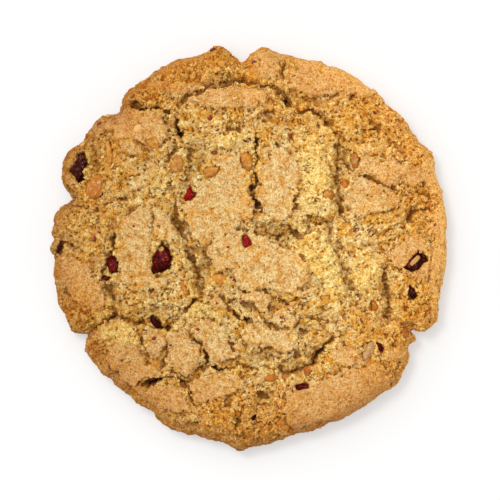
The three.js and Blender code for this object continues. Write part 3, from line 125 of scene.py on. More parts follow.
# Plates of unbroken crust, which stand over the crumb round them: rise, outline
PLATES = (
    (0.9, ((-33.9, 34.1), (-30.1, 35.4), (-26.9, 34.1), (-24.6, 33.9), (-22.1, 32.9), (-20.6, 30.6),
        (-20.1, 27.6), (-21.9, 25.4), (-24.1, 24.6), (-25.9, 25.6), (-28.6, 27.1), (-31.9, 27.4),
        (-34.1, 27.4), (-36.1, 28.6), (-35.4, 31.6))),
    (0.5, ((-32.4, 26.6), (-28.6, 26.6), (-26.4, 24.9), (-24.6, 23.9), (-25.6, 22.6), (-28.6, 23.1),
        (-31.1, 24.1))),
    (0.8, ((-24.1, 41.1), (-20.1, 41.6), (-15.9, 41.6), (-12.1, 40.1), (-8.4, 39.9), (-5.1, 40.1),
        (-0.9, 39.6), (3.4, 39.1), (5.4, 37.4), (3.4, 35.6), (-0.1, 34.9), (-3.1, 35.4), (-6.6, 34.9),
        (-10.1, 35.4), (-13.6, 36.1), (-16.1, 37.9), (-19.6, 38.6), (-23.1, 39.4))),
    (0.6, ((0.9, 44.6), (1.9, 48.1), (3.9, 49.4), (6.9, 49.4), (9.9, 48.1), (9.9, 46.9), (7.9, 46.1),
        (7.4, 44.1), (6.9, 42.6), (3.9, 42.4), (1.6, 42.6))),
    (0.8, ((11.4, 47.6), (15.9, 46.9), (20.4, 45.6), (24.9, 43.9), (28.4, 41.6), (31.9, 38.9), (29.4, 37.6),
        (25.9, 37.9), (23.4, 39.4), (20.9, 37.6), (16.9, 37.9), (13.4, 38.9), (10.9, 40.1), (10.6, 42.1),
        (12.1, 44.4))),
    (0.9, ((-9.6, 23.6), (-6.6, 24.6), (-3.4, 24.4), (-2.1, 22.6), (-1.4, 19.6), (0.6, 18.6), (0.4, 15.6),
        (0.4, 12.9), (1.9, 10.4), (1.1, 8.4), (-1.1, 7.1), (-2.1, 5.4), (-5.1, 4.1), (-7.4, 2.6),
        (-9.4, 1.9), (-10.9, 0.4), (-13.1, 1.9), (-14.6, 3.9), (-15.1, 8.6), (-16.6, 10.6), (-15.6, 11.9),
        (-12.9, 12.9), (-12.6, 16.4), (-10.9, 17.1), (-8.1, 18.1), (-6.6, 20.1), (-8.6, 21.1))),
    (1, ((3.4, 24.6), (5.9, 25.6), (8.9, 24.9), (11.1, 23.1), (12.6, 20.6), (12.9, 18.1), (11.9, 14.6),
        (11.4, 11.4), (10.4, 8.6), (7.9, 6.9), (4.9, 7.6), (3.4, 10.1), (2.1, 12.6), (3.1, 15.6),
        (2.4, 18.1), (3.6, 20.6))),
    (1, ((-8.9, 1.4), (-6.6, 2.4), (-3.9, 4.4), (-0.1, 4.9), (1.9, 3.4), (4.6, 2.6), (7.4, 1.4),
        (9.4, -0.6), (12.4, -1.4), (14.4, -3.6), (14.6, -7.4), (13.6, -9.9), (10.9, -10.9), (7.4, -10.6),
        (3.4, -9.9), (-0.6, -10.6), (-2.6, -9.1), (-3.9, -6.1), (-5.1, -4.9), (-7.6, -5.4), (-9.1, -3.4),
        (-10.4, -0.9))),
    (0.7, ((-1.4, -11.4), (1.9, -10.9), (5.4, -11.1), (6.4, -12.6), (4.9, -14.4), (5.4, -16.4),
        (3.4, -15.9), (0.9, -13.6), (-1.4, -12.6))),
    (0.7, ((5.9, -15.9), (8.9, -15.1), (10.9, -16.1), (11.9, -17.9), (10.6, -19.9), (8.1, -19.6),
        (6.1, -17.9))),
    (0.9, ((0.9, -18.6), (3.4, -18.1), (5.6, -19.9), (8.4, -20.6), (10.9, -20.1), (12.4, -22.1),
        (12.6, -24.4), (10.6, -25.6), (6.9, -25.4), (3.6, -24.4), (0.4, -24.1), (-1.4, -23.1),
        (-2.6, -22.1), (-1.4, -20.4))),
    (1, ((-13.6, -18.1), (-10.9, -17.4), (-7.6, -18.4), (-5.9, -20.4), (-4.9, -22.9), (-3.9, -25.4),
        (-2.4, -26.1), (-2.6, -27.4), (-5.6, -27.4), (-8.6, -27.9), (-10.4, -27.1), (-11.1, -25.1),
        (-11.4, -23.1), (-12.9, -22.1), (-14.4, -20.6))),
    (0.9, ((-20.6, -21.1), (-18.1, -20.4), (-15.6, -20.1), (-14.1, -22.4), (-12.4, -24.1), (-12.1, -26.9),
        (-12.9, -29.4), (-13.9, -30.9), (-15.6, -31.9), (-17.9, -30.6), (-19.9, -28.4), (-20.4, -25.9),
        (-19.6, -23.6))),
    (0.7, ((-14.6, -32.9), (-11.4, -32.6), (-9.6, -31.6), (-6.1, -31.4), (-2.1, -31.9), (-0.4, -33.4),
        (-1.9, -34.9), (-4.6, -35.6), (-6.6, -36.9), (-9.6, -38.1), (-12.6, -37.6), (-14.6, -35.6),
        (-15.1, -34.1))),
    (0.6, ((-35.1, -24.6), (-31.6, -23.9), (-28.1, -24.1), (-26.9, -26.4), (-25.1, -28.9), (-22.6, -29.9),
        (-23.6, -31.6), (-26.6, -32.4), (-27.6, -34.1), (-25.6, -35.6), (-22.6, -34.1), (-19.1, -33.6),
        (-17.6, -35.6), (-15.6, -38.1), (-14.6, -40.1), (-17.1, -40.9), (-21.1, -40.4), (-25.6, -38.1),
        (-28.6, -35.6), (-31.6, -32.9), (-33.9, -29.9), (-35.6, -27.1))),
    (0.9, ((8.9, -34.9), (11.9, -35.6), (15.9, -33.9), (20.4, -31.9), (24.4, -30.1), (27.9, -29.6),
        (31.4, -28.6), (34.6, -29.6), (36.6, -32.4), (34.4, -34.9), (30.4, -37.6), (25.4, -40.9),
        (21.6, -42.6), (16.9, -43.9), (12.4, -45.1), (9.4, -43.9), (8.4, -40.4), (9.4, -37.9))),
    (0.4, ((44.6, 22.6), (46.4, 22.6), (47.4, 19.1), (48.4, 15.6), (49.4, 10.9), (49.6, 4.6), (49.4, -1.6),
        (48.1, -7.9), (47.1, -11.9), (45.4, -10.9), (45.6, -6.6), (45.4, -3.4), (46.1, -0.4), (46.6, 3.1),
        (46.1, 6.6), (47.4, 9.6), (48.1, 12.6), (45.9, 14.6), (43.9, 17.1), (42.9, 20.1))),
    (0.7, ((27.9, 22.9), (31.1, 22.9), (33.6, 21.9), (36.4, 21.9), (39.1, 20.4), (42.4, 20.6), (43.9, 17.6),
        (42.1, 15.4), (38.9, 16.1), (35.9, 15.6), (32.9, 16.4), (30.4, 17.9), (27.9, 18.9))),
    (0.8, ((26.1, 17.1), (28.4, 17.1), (30.9, 16.4), (33.4, 15.1), (35.9, 14.1), (37.9, 12.1), (37.4, 10.1),
        (34.9, 9.4), (31.4, 8.9), (28.4, 8.1), (25.9, 8.9), (24.6, 11.4), (24.9, 14.1))),
    (0.6, ((35.6, -0.9), (37.4, 0.4), (39.1, 3.1), (41.9, 3.1), (44.6, 1.4), (45.4, -1.4), (44.9, -4.4),
        (44.4, -7.9), (41.4, -7.6), (38.9, -5.9), (36.4, -4.4), (35.6, -2.6))),
    (0.8, ((-31.6, 6.6), (-29.6, 8.6), (-27.1, 10.4), (-24.6, 9.9), (-23.9, 7.6), (-24.6, 4.6),
        (-24.6, 1.6), (-24.9, -1.9), (-24.4, -4.9), (-23.1, -7.1), (-19.6, -7.1), (-20.1, -9.1),
        (-22.6, -10.4), (-26.1, -10.6), (-29.6, -10.1), (-31.6, -8.1), (-32.4, -4.9), (-31.6, -1.9),
        (-31.9, 1.1), (-31.4, 3.6))),
    (0.6, ((-23.6, 10.4), (-21.4, 9.4), (-19.1, 6.6), (-17.9, 4.1), (-19.1, 1.9), (-22.1, 2.4),
        (-23.9, 4.1), (-23.4, 7.1))),
    (0.6, ((-47.1, -2.4), (-44.6, -1.4), (-41.6, -2.6), (-39.6, -4.9), (-38.1, -8.4), (-36.1, -10.9),
        (-35.4, -13.6), (-37.6, -15.1), (-40.6, -14.9), (-43.6, -12.9), (-45.6, -9.9), (-46.9, -5.9))),
    (0.6, ((-24.6, -19.9), (-22.1, -20.9), (-20.6, -22.9), (-21.4, -25.4), (-23.1, -26.9), (-25.1, -25.4),
        (-26.6, -21.9))),
    (0.6, ((-11.1, -12.6), (-8.6, -12.1), (-6.1, -12.6), (-4.6, -13.9), (-6.1, -14.9), (-9.1, -13.9))),
    (0.5, ((20.9, -25.9), (24.1, -24.6), (27.4, -24.9), (27.9, -27.9), (25.4, -29.4), (22.4, -28.9),
        (20.4, -27.4))),
    (0.5, ((33.9, -25.4), (36.6, -24.9), (39.1, -25.9), (38.9, -27.9), (36.4, -28.1), (33.9, -27.4))),
    (0.4, ((-39.1, 30.6), (-36.1, 31.1), (-34.6, 32.1), (-34.1, 30.1), (-36.1, 28.6), (-38.1, 28.1))),
    (0.3, ((-19.1, 47.1), (-14.6, 48.1), (-10.6, 49.1), (-12.1, 47.1), (-16.1, 45.6), (-20.1, 44.1),
        (-22.6, 44.1))),
)

# Crumbly mounds between the plates: x, y, half length, half width, turn, rise
MOUNDS = (
    (16.1, 19.1, 4.2, 10, 0, 0.9), (19, -3.5, 10, 4.2, -62, 0.9), (28.9, -6, 3.4, 5.6, 0, 0.7),
    (-32.5, -21.5, 4.4, 3.2, 0, 0.8), (-22, 16, 4.4, 5.5, 0, 0.6), (-10.4, -15.8, 4.4, 2, -20, 0.8),
    (26, -18, 8, 3.5, -20, 0.5), (-17, 44, 13, 3.4, 22, 0.6), (-27, 38.6, 5.5, 3.4, 38, 0.5),
    (39, 29, 9.5, 3.4, -50, 0.5), (11, 34, 7, 2.2, -12, 0.6), (-3.6, 27.6, 4.6, 2.2, 5, 0.5),
    (-5, 31.5, 6, 2, 0, 0.3), (-33, 17.5, 4, 4.5, 0, 0.5), (-41.5, 6.5, 3.2, 3.6, 0, 0.5),
    (42.5, -15, 3.4, 3.6, 0, 0.6), (37, -22, 4, 2.6, 10, 0.5), (-1, -39, 7, 3, 0, 0.4),
    (33, 3, 6, 2.6, 10, 0.4),
)

# Hollows where the crumb lies low: x, y, half length, half width, turn, strength
HOLLOWS = (
    (-12.9, 22.1, 3.4, 4.4, 0, 0.8), (-15.9, 14.8, 1.7, 3.8, 0, 0.6), (-16.9, 5.4, 1.9, 4.5, 25, 0.8),
    (-12.1, -5.4, 2.8, 7, 0, 0.9), (-0.4, -14.2, 3.4, 1.9, -35, 0.9), (7.5, 3.9, 6.4, 2.4, -8, 0.9),
    (17.2, 6.6, 3.2, 1.4, 0, 0.8), (22.9, 19.1, 2.5, 12, -3, 0.9), (4.9, 32.6, 1.6, 2, 0, 0.7),
    (12.4, 37.4, 7, 1.6, -12, 0.8), (22.4, -0.4, 1.8, 3.2, 10, 0.6), (24.6, -8, 1.6, 5, 15, 0.7),
    (34.6, -11.6, 2, 6, 5, 0.9), (2.9, -27.1, 5, 1.7, 0, 0.9), (16.6, -26.6, 3.4, 3.6, 0, 0.8),
    (-33.6, -13.4, 1.8, 4.4, 10, 0.7), (-25, -16.2, 6.6, 2.4, 0, 0.8), (-38.4, 20.4, 1.8, 2.4, 0, 0.9),
    (-37.6, 24.4, 1.3, 2.2, 0, 0.8), (-45.4, 10.9, 1.9, 1.2, 0, 0.6), (-25.9, -23.5, 1.3, 2.2, 0, 0.6),
    (3.9, -37.6, 2.6, 3.4, 0, 0.8), (-2.4, -43.9, 2.6, 1, 0, 0.5), (-7, 42, 6, 1.8, 10, 0.7),
    (-34, 2.5, 1.6, 5, 0, 0.6), (14, -19.6, 2.4, 2.4, 0, 0.7), (40, 8.6, 5, 1.6, 10, 0.6),
    (10.8, -29.8, 5, 2.6, 10, 1), (-21.2, -17.2, 3.4, 2.2, -20, 0.7), (-34.6, -8.6, 2, 3.4, 0, 0.7),
    (-20.6, 32, 2.6, 1.8, -20, 0.5),
)

# Cracks: depth, width of the gentle slope on the route's left, width of the wall on its right, route
CRACKS = (
    (4.2, 2, 0.5, ((-31, 36), (-25.5, 35), (-21, 34.5), (-18.8, 33), (-18, 30), (-16.5, 26.5))),
    (1.3, 1.6, 0.9, ((-16.5, 26.5), (-19.5, 24), (-20.7, 20.5), (-20.2, 18), (-18.2, 13), (-18.5, 9))),
    (1.2, 1.5, 0.9, ((-17, 26), (-14.7, 24), (-14.4, 20), (-15.5, 16.5))),
    (1.8, 2.2, 0.8, ((-18, 36), (-12.5, 39), (-9, 40), (-5.5, 41), (-1.5, 42), (5, 40), (9, 38.5))),
    (2.6, 2.4, 0.6, ((8, 39), (11, 35.2), (15, 34), (18.5, 32.5), (20.5, 30.5), (22, 28))),
    (1.8, 2.2, 1.3, ((21.5, 29.5), (22.5, 25.5), (23, 22.5), (26.5, 19.2))),
    (1.6, 0.5, 0.4, ((28, 17.8), (31, 17.2), (33, 16.2), (35, 14.8))),
    (2.6, 1, 0.4, ((1, 29.5), (1.8, 26), (2, 21), (1.5, 17.5), (0.9, 14.5), (1.5, 11.5), (3, 9))),
    (1.8, 2, 0.9, ((0.5, 6.5), (4, 4.5), (7.5, 3), (10.5, 4.5), (12.5, 2.5), (16, 5), (20.5, 6.2))),
    (1.2, 2, 1.6, ((22.8, 22), (22, 18.5), (22.5, 14.5), (23, 9.5), (20.5, 6.2), (20.5, 1.5))),
    (0.8, 2, 1.8, ((20.5, 2), (22.5, -1.5), (24, -5.5), (25.5, -9), (27.8, -12))),
    (1.9, 2.4, 0.9, ((-18.5, 9), (-17.5, 6), (-16, 2), (-14.5, -1.5), (-12.8, -6), (-12, -10),
        (-12.2, -13))),
    (1.6, 1.2, 0.5, ((-13, -12.8), (-10.5, -14), (-8, -15.5))),
    (3.4, 2.2, 0.6, ((-7, -11.5), (-5.2, -13.5), (-3.8, -16), (-1.8, -18), (1, -18.6))),
    (2.2, 0.9, 0.5, ((2.4, -16), (4.3, -18.5), (7, -20.6))),
    (2.4, 2, 0.8, ((-41, -21.5), (-38, -20), (-35.5, -18), (-33, -16.5), (-30, -18), (-27, -18.8),
        (-24, -18.2))),
    (2.4, 2.2, 0.8, ((-26, -18.8), (-23, -20), (-20, -20.2), (-18.3, -18), (-15.5, -15.2), (-12.5, -13))),
    (1.8, 1.8, 0.8, ((-34.5, 6), (-34, 1.5), (-35.5, -3), (-36.5, -7.5), (-34.8, -11.5), (-33.2, -16))),
    (2.8, 1.6, 0.6, ((-14, -22.8), (-12, -24.6), (-10.7, -27.5), (-11.2, -29.6), (-9, -29.7), (-6.8, -30.4),
        (-3, -29.2))),
    (2.4, 1.8, 0.6, ((-3.5, -29.2), (1.5, -29.6), (6, -29.7), (8.7, -31.4), (11, -31))),
    (3, 2, 0.7, ((9.5, -31.4), (13, -30.2), (16, -29), (17.6, -26.5), (19.5, -24), (21.3, -22.3))),
    (1.5, 2, 1.2, ((33.5, -3), (34.2, -9), (35, -13), (35.6, -16.5), (38, -18.6), (41, -19.8))),
    (1.3, 1.5, 0.8, ((32, 2.6), (35.5, 4.8), (38.5, 6), (41.5, 9), (45.5, 9.6))),
    (1.2, 1.2, 0.7, ((40.5, 13.6), (44, 13.9), (47.5, 12.6))),
    (0.9, 2.4, 0.9, ((-15, 25), (-12, 25.5), (-9, 27), (-6, 29), (-2, 30), (1, 29.5))),
    (1.6, 0.7, 0.5, ((-19, -30.5), (-17, -32.5), (-15, -34.8), (-14.5, -37.5), (-13, -39.5))),
    (3.2, 1.1, 0.6, ((-26.8, -34.6), (-24, -33.2), (-21.5, -32.6), (-19, -32.4))),
    (1.2, 1.2, 0.7, ((-27.6, -19.5), (-27.1, -23), (-25.7, -26), (-26, -28.5))),
    (1.2, 0.9, 0.6, ((-20.2, -24), (-20.9, -28), (-21.8, -32.4))),
    (1.6, 1.5, 0.6, ((-39.2, 26), (-38.2, 21), (-39.4, 19.4))),
    (1.3, 1.3, 0.7, ((-45.5, 11.4), (-42, 10.5), (-38.5, 9.2), (-32.5, 11.6), (-27.5, 12.6))),
    (1.4, 0.7, 0.5, ((-46.4, 1.4), (-44.5, 0.6), (-41, -1))),
    (1.1, 0.6, 0.4, ((-5, 2.6), (-3, 4), (0.5, 5.6))),
    (1.2, 0.5, 0.4, ((-1.6, -11), (1, -10.6), (3.2, -10))),
    (1.5, 1, 0.6, ((5, -12.6), (8.5, -13.2), (11, -13.4), (14.5, -12.6))),
    (1.5, 1.8, 0.7, ((11.5, -19.5), (13.5, -17.2), (16, -17), (19, -18.4))),
    (1.4, 0.6, 0.4, ((-5, -20.4), (-4.6, -22.5), (-3.8, -24.8))),
    (1, 0.6, 0.4, ((23.4, -24.4), (25.6, -23.6))),
    (1.5, 1.3, 0.6, ((29, 29.6), (33.2, 29.4), (30.6, 32.6))),
    (0.9, 0.9, 0.6, ((31.5, 37.6), (33.5, 34.6), (35.8, 31.6))),
    (0.9, 0.5, 0.4, ((37, 21.6), (40.6, 20.4))),
    (1.4, 0.8, 0.6, ((9.5, 47.4), (8.4, 45), (8.5, 41.8))),
    (0.9, 1, 0.6, ((-31, 22.6), (-27.5, 23), (-24.5, 21.6), (-21.6, 22))),
    (1.1, 1.2, 0.7, ((-9.5, -46.8), (-5, -46.9), (-0.5, -47.2), (4, -48))),
    (0.8, 0.6, 0.4, ((35, -0.6), (36.6, 0.9), (39, 1.6))),
)

# Round pits: x, y, half length, half width, turn, depth
PITS = (
    (-5.2, 41.4, 1.7, 1.2, 30, 1.6), (-1.4, 43.3, 1.3, 1.1, 0, 1.3), (5.5, 34, 1.6, 1.1, 10, 1.1),
    (3.6, 32, 0.9, 0.9, 0, 0.9), (22, 25.6, 1, 0.8, 0, 1.4), (24, 27.2, 0.7, 0.7, 0, 1),
    (22.6, 22, 0.8, 0.7, 0, 1.2), (22.7, 9.6, 1, 0.9, 0, 1.7), (10.8, 4.6, 0.9, 0.7, 0, 1.4),
    (11.8, 3, 0.6, 0.6, 0, 1.2), (38.2, 5.6, 0.7, 0.7, 0, 1), (-45, 1, 0.9, 0.8, 0, 1.6),
    (-13.5, -44, 1.4, 1, -20, 1.2), (3.3, -36.6, 1.8, 1, -20, 1.5), (-3, -44, 1.6, 1.1, 0, 1.2),
    (-11.4, -29.6, 1.4, 1.2, 0, 1.6), (-6.9, -30.5, 1.3, 1.1, 0, 1.3), (11.6, -27, 1.7, 1.4, 0, 1.6),
    (17, -26.6, 1.1, 1.1, 0, 1.4), (-35, 28.6, 1.5, 1.3, 0, 1.2), (-18.4, -18, 1.3, 1, 0, 1.4),
    (14.1, -20.5, 1.1, 1, 0, 1.1), (28, -11.6, 1, 1.2, 0, 1.1), (35, -17.2, 1.2, 1, 0, 1),
    (-33, -31.2, 1.7, 1.2, 20, 1), (34.6, -22, 0.8, 0.7, 0, 0.9), (-4.8, -37.9, 1.5, 0.9, 10, 0.9),
    (33, -27.9, 0.5, 0.5, 0, 0.8),
)

# Dried cranberries: thickness, lift over the dough, brightness, outline
CRANBERRIES = (
    (3.2, 0, 0.12, ((-41.6, 24.4), (-40.9, 22.9), (-40.1, 21.4), (-40.9, 19.6), (-41.1, 17.6),
        (-42.6, 15.9), (-43.6, 17.6), (-45.1, 19.4), (-43.6, 22.1))),
    (2.2, 0.5, 1, ((-14.6, 15.6), (-14, 14.4), (-13.1, 13.1), (-14.4, 12.1), (-15.6, 11.9), (-16.4, 12.4),
        (-15.6, 14.1))),
    (4, 0.6, 0.45, ((-24.1, -2.1), (-22.6, -0.1), (-21.4, 1.2), (-20.1, 0.4), (-19.4, -0.9), (-18.9, -2.9),
        (-19.4, -4.4), (-20.6, -5.4), (-22.1, -5.9), (-23.9, -6.1), (-24.1, -4.4))),
    (3, 0.4, 0.5, ((-34.4, -1.4), (-33.1, -2.1), (-32.4, -3.6), (-32.4, -4.9), (-33.1, -6), (-34.4, -6.1),
        (-34.9, -5.1), (-35.6, -3.4))),
    (2.2, 0.1, 0.35, ((-36.9, -6.6), (-35.6, -6.8), (-34.5, -7.4), (-34.9, -8.2), (-36.1, -8.6),
        (-37.1, -7.8))),
    (2, 0.2, 0.3, ((-46.9, 2.2), (-46.3, 1.5), (-46.7, 0), (-47.5, -1.4), (-48.2, -1), (-47.8, 0.7))),
    (2, 0.4, 0.9, ((-1.4, 3.4), (-0.6, 3.6), (0.4, 2.4), (0.9, 1.1), (0.1, 0.4), (-0.9, 0), (-1.4, 0.6),
        (-1.5, 1.9))),
    (2.4, 0.1, 0.05, ((-24.9, -17.1), (-24.1, -16.4), (-23.1, -17.4), (-21.9, -18.4), (-21.1, -19.9),
        (-21.9, -20.7), (-23.1, -19.8), (-24.6, -18.7))),
    (2.4, 0.3, 0.3, ((38.9, -4.9), (39.9, -3.1), (41.1, -1.6), (42.4, -0.6), (43.3, -1.2), (44.5, -2),
        (44.5, -3), (43.6, -4), (42.7, -5), (41.1, -5.7), (39.6, -5.5))),
    (1.8, 0.1, 0.45, ((11.6, -34.1), (13.1, -33.7), (14.9, -33.9), (14.9, -34.9), (13.1, -35.1),
        (11.9, -35.4))),
    (1.6, 0.1, 0.5, ((32.4, -23.6), (33.3, -24.2), (33.9, -25.3), (33.2, -25.9), (32.6, -25.7),
        (32.4, -24.6))),
    (2, 0, 0.05, ((-26.4, -33.3), (-24.6, -33), (-22.9, -32.5), (-21.3, -32.6), (-22.1, -33.4),
        (-23.9, -34.1), (-25.1, -35), (-26.1, -34.5))),
    (2, -0.2, 0, ((40.4, -9.1), (41.4, -9.9), (42.1, -10.9), (42.1, -12.1), (41.2, -12.9), (40.4, -12.5),
        (40.1, -10.9))),
    (1.6, 0, 0.2, ((0.4, -42.6), (0.9, -41.7), (2.1, -41.4), (1.9, -42.6), (0.9, -43.1))),
)

# Almond pieces: thickness, lift over the dough, colour on a screen, outline
ALMONDS = (
    (2.6, 0.6, (200, 140, 70), ((-18.9, 22.9), (-17.6, 23.6), (-16.1, 22.9), (-15.6, 21.1), (-16.1, 19.6),
        (-17.4, 18.6), (-19.3, 18.9), (-19.8, 20.4), (-19.1, 21.6))),
    (2.2, 0.4, (205, 140, 60), ((-11.3, 19.1), (-10.1, 20.6), (-8.1, 20.4), (-6.8, 20.5), (-7.6, 18.6),
        (-8.9, 17.5), (-10.6, 17.5))),
    (2.4, 0.5, (215, 140, 50), ((-2.1, 23.6), (-0.6, 24.1), (0.9, 23.1), (1.3, 21.1), (1.1, 19.4),
        (-0.4, 19.1), (-1.6, 20.1), (-2.1, 21.9))),
    (2.2, 0.4, (225, 150, 55), ((-9.4, -6.9), (-7.6, -6.1), (-4.9, -6.4), (-5.4, -8.1), (-6.9, -9.6),
        (-8.4, -8.6))),
    (1.8, 0.3, (205, 120, 40), ((-17.1, -7.9), (-16.1, -7.6), (-15.5, -9.4), (-14.6, -11.4), (-15.6, -12.1),
        (-16.9, -10.4))),
    (2, 0.5, (200, 125, 45), ((17.9, 13.4), (19.1, 14.9), (20.6, 14.6), (21.6, 13.6), (20.9, 12.1),
        (19.1, 12.1))),
    (1.8, 0.4, (205, 110, 40), ((23.1, 16.9), (24.1, 17.4), (25.1, 16.6), (25.1, 15.1), (24.1, 14.9),
        (23.1, 15.6))),
    (1.8, 0.5, (205, 115, 45), ((3.9, -32.4), (4.9, -31.2), (6.6, -31.4), (7.6, -32.1), (6.6, -33.1),
        (4.6, -33.1))),
    (1.8, 0.4, (195, 95, 35), ((13.6, -29.6), (15.1, -29.4), (15.9, -30.6), (15.1, -31.9), (13.9, -31.1))),
    (2.2, 0.5, (215, 175, 125), ((30.4, -22.9), (31.5, -23.4), (31.7, -25.2), (30.8, -27.1), (29.7, -28.3),
        (28.4, -28.3), (28.4, -26.6), (29.1, -24.6))),
    (1.6, 0.3, (210, 120, 45), ((30.6, -13.1), (31.6, -13.1), (32.4, -14.6), (31.9, -15.9), (30.9, -15.6))),
    (1.8, 0.3, (200, 110, 40), ((37.9, -19.9), (39.2, -19.6), (40.1, -20.7), (40, -22.2), (38.8, -22.8),
        (38.1, -21.4))),
    (2.2, 0.3, (190, 120, 55), ((25.4, 23.9), (27.2, 24.1), (27.8, 22.1), (27.3, 19.7), (26.1, 19.6),
        (25.4, 21.9))),
    (1.9, 0.3, (238, 224, 158), ((15.1, -6.9), (16.1, -6.1), (17.6, -7.1), (18.1, -8.9), (16.9, -9.4),
        (15.6, -8.6))),
    (2, 0.3, (215, 150, 65), ((-25.6, 26.9), (-23.3, 27.9), (-21.8, 26.6), (-22.3, 24.8), (-24.6, 24.7))),
    (2, 0.4, (215, 145, 60), ((-36, 26.9), (-34.8, 27), (-34.1, 25.1), (-33.6, 22.6), (-34.1, 20.3),
        (-35.2, 21.1), (-35.7, 24.1))),
    (1.6, 0.3, (215, 125, 50), ((8.2, -31.9), (9.4, -31.1), (10.1, -32.1), (8.9, -33))),
    (1.4, 0.3, (225, 150, 50), ((-1.6, -28.9), (-0.1, -29.2), (-0.3, -30.3), (-1.6, -30.1))),
    (2, 0.4, (200, 120, 50), ((-40.7, 13.9), (-40.5, 16.2), (-38.9, 18), (-36.9, 18.6), (-36.1, 17.1),
        (-36.4, 13.4), (-38.4, 12.1), (-40.1, 12.5))),
    (1.8, 0.1, (110, 50, 25), ((-17.1, -33.1), (-16.1, -33.1), (-15.1, -34.4), (-15.3, -35.2),
        (-16.3, -35.2), (-17.3, -34.2))),
)

TOPPINGS = {"cranberry": CRANBERRIES, "almond": ALMONDS}

# Small flecks of cranberry skin: x, y, length, width, turn, brightness
FLECKS = (
    (-23.6, -22.4, 1.3, 0.8, 30, 0.4), (-12.6, -20.1, 1, 0.8, 0, 0.6), (-9.6, 32.4, 1.1, 0.9, 20, 0.5),
    (18.4, 27.9, 1.6, 0.9, -30, 0.7), (10.4, 27.9, 1.2, 0.8, 60, 0.6), (7.9, -17.1, 0.6, 0.4, 90, 0.5),
    (8.9, -17.4, 0.6, 0.4, 80, 0.5), (8.3, -18.2, 1, 0.4, 0, 0.5), (-3.4, -8.1, 1.1, 0.7, 80, 0.5),
    (-5.1, 0.4, 0.8, 0.7, 0, 0.6), (1.4, 46.4, 1.3, 1, 20, 0.3), (-38.1, 5.2, 1.8, 0.6, 80, 0.6),
    (-38.3, 2.6, 1.4, 0.6, 100, 0.6), (-28.6, 5.6, 0.7, 0.7, 0, 0.6), (-19.4, -24.1, 0.8, 0.6, 0, 0.5),
    (-1.4, -13.1, 0.8, 0.8, 0, 0.6), (-37.2, 31, 1.5, 1.1, 30, 0.3), (-34.6, -29.6, 1, 0.8, 0, 0.2),
    (-10.1, 32.6, 0.7, 0.6, 0, 0.5), (-8.9, 49.6, 1.6, 0.8, 30, 0.1), (-0.9, 26.8, 1.1, 0.5, -40, 0.1),
    (0.2, 27.4, 0.7, 0.5, 0, 0.1), (-27.4, 14.6, 0.9, 0.6, 90, 0.5), (-30.9, 10.4, 0.9, 0.6, 70, 0.5),
    (-18.4, 27.1, 0.6, 0.6, 0, 0.5), (-7.9, -13.6, 0.6, 0.6, 0, 0.5), (26.4, 4.4, 0.7, 0.6, 0, 0.6),
    (46.4, 5.9, 1, 0.6, 60, 0.5), (9.6, -13.9, 1.4, 0.5, 0, 0.1), (31.4, 33.9, 1, 0.7, -50, 0.3),
    (-3.1, -8.6, 0.6, 0.5, 0, 0.5), (14.6, -41.4, 0.9, 0.4, 50, 0.5), (-37.2, 4.1, 0.7, 0.5, 0, 0.7),
)

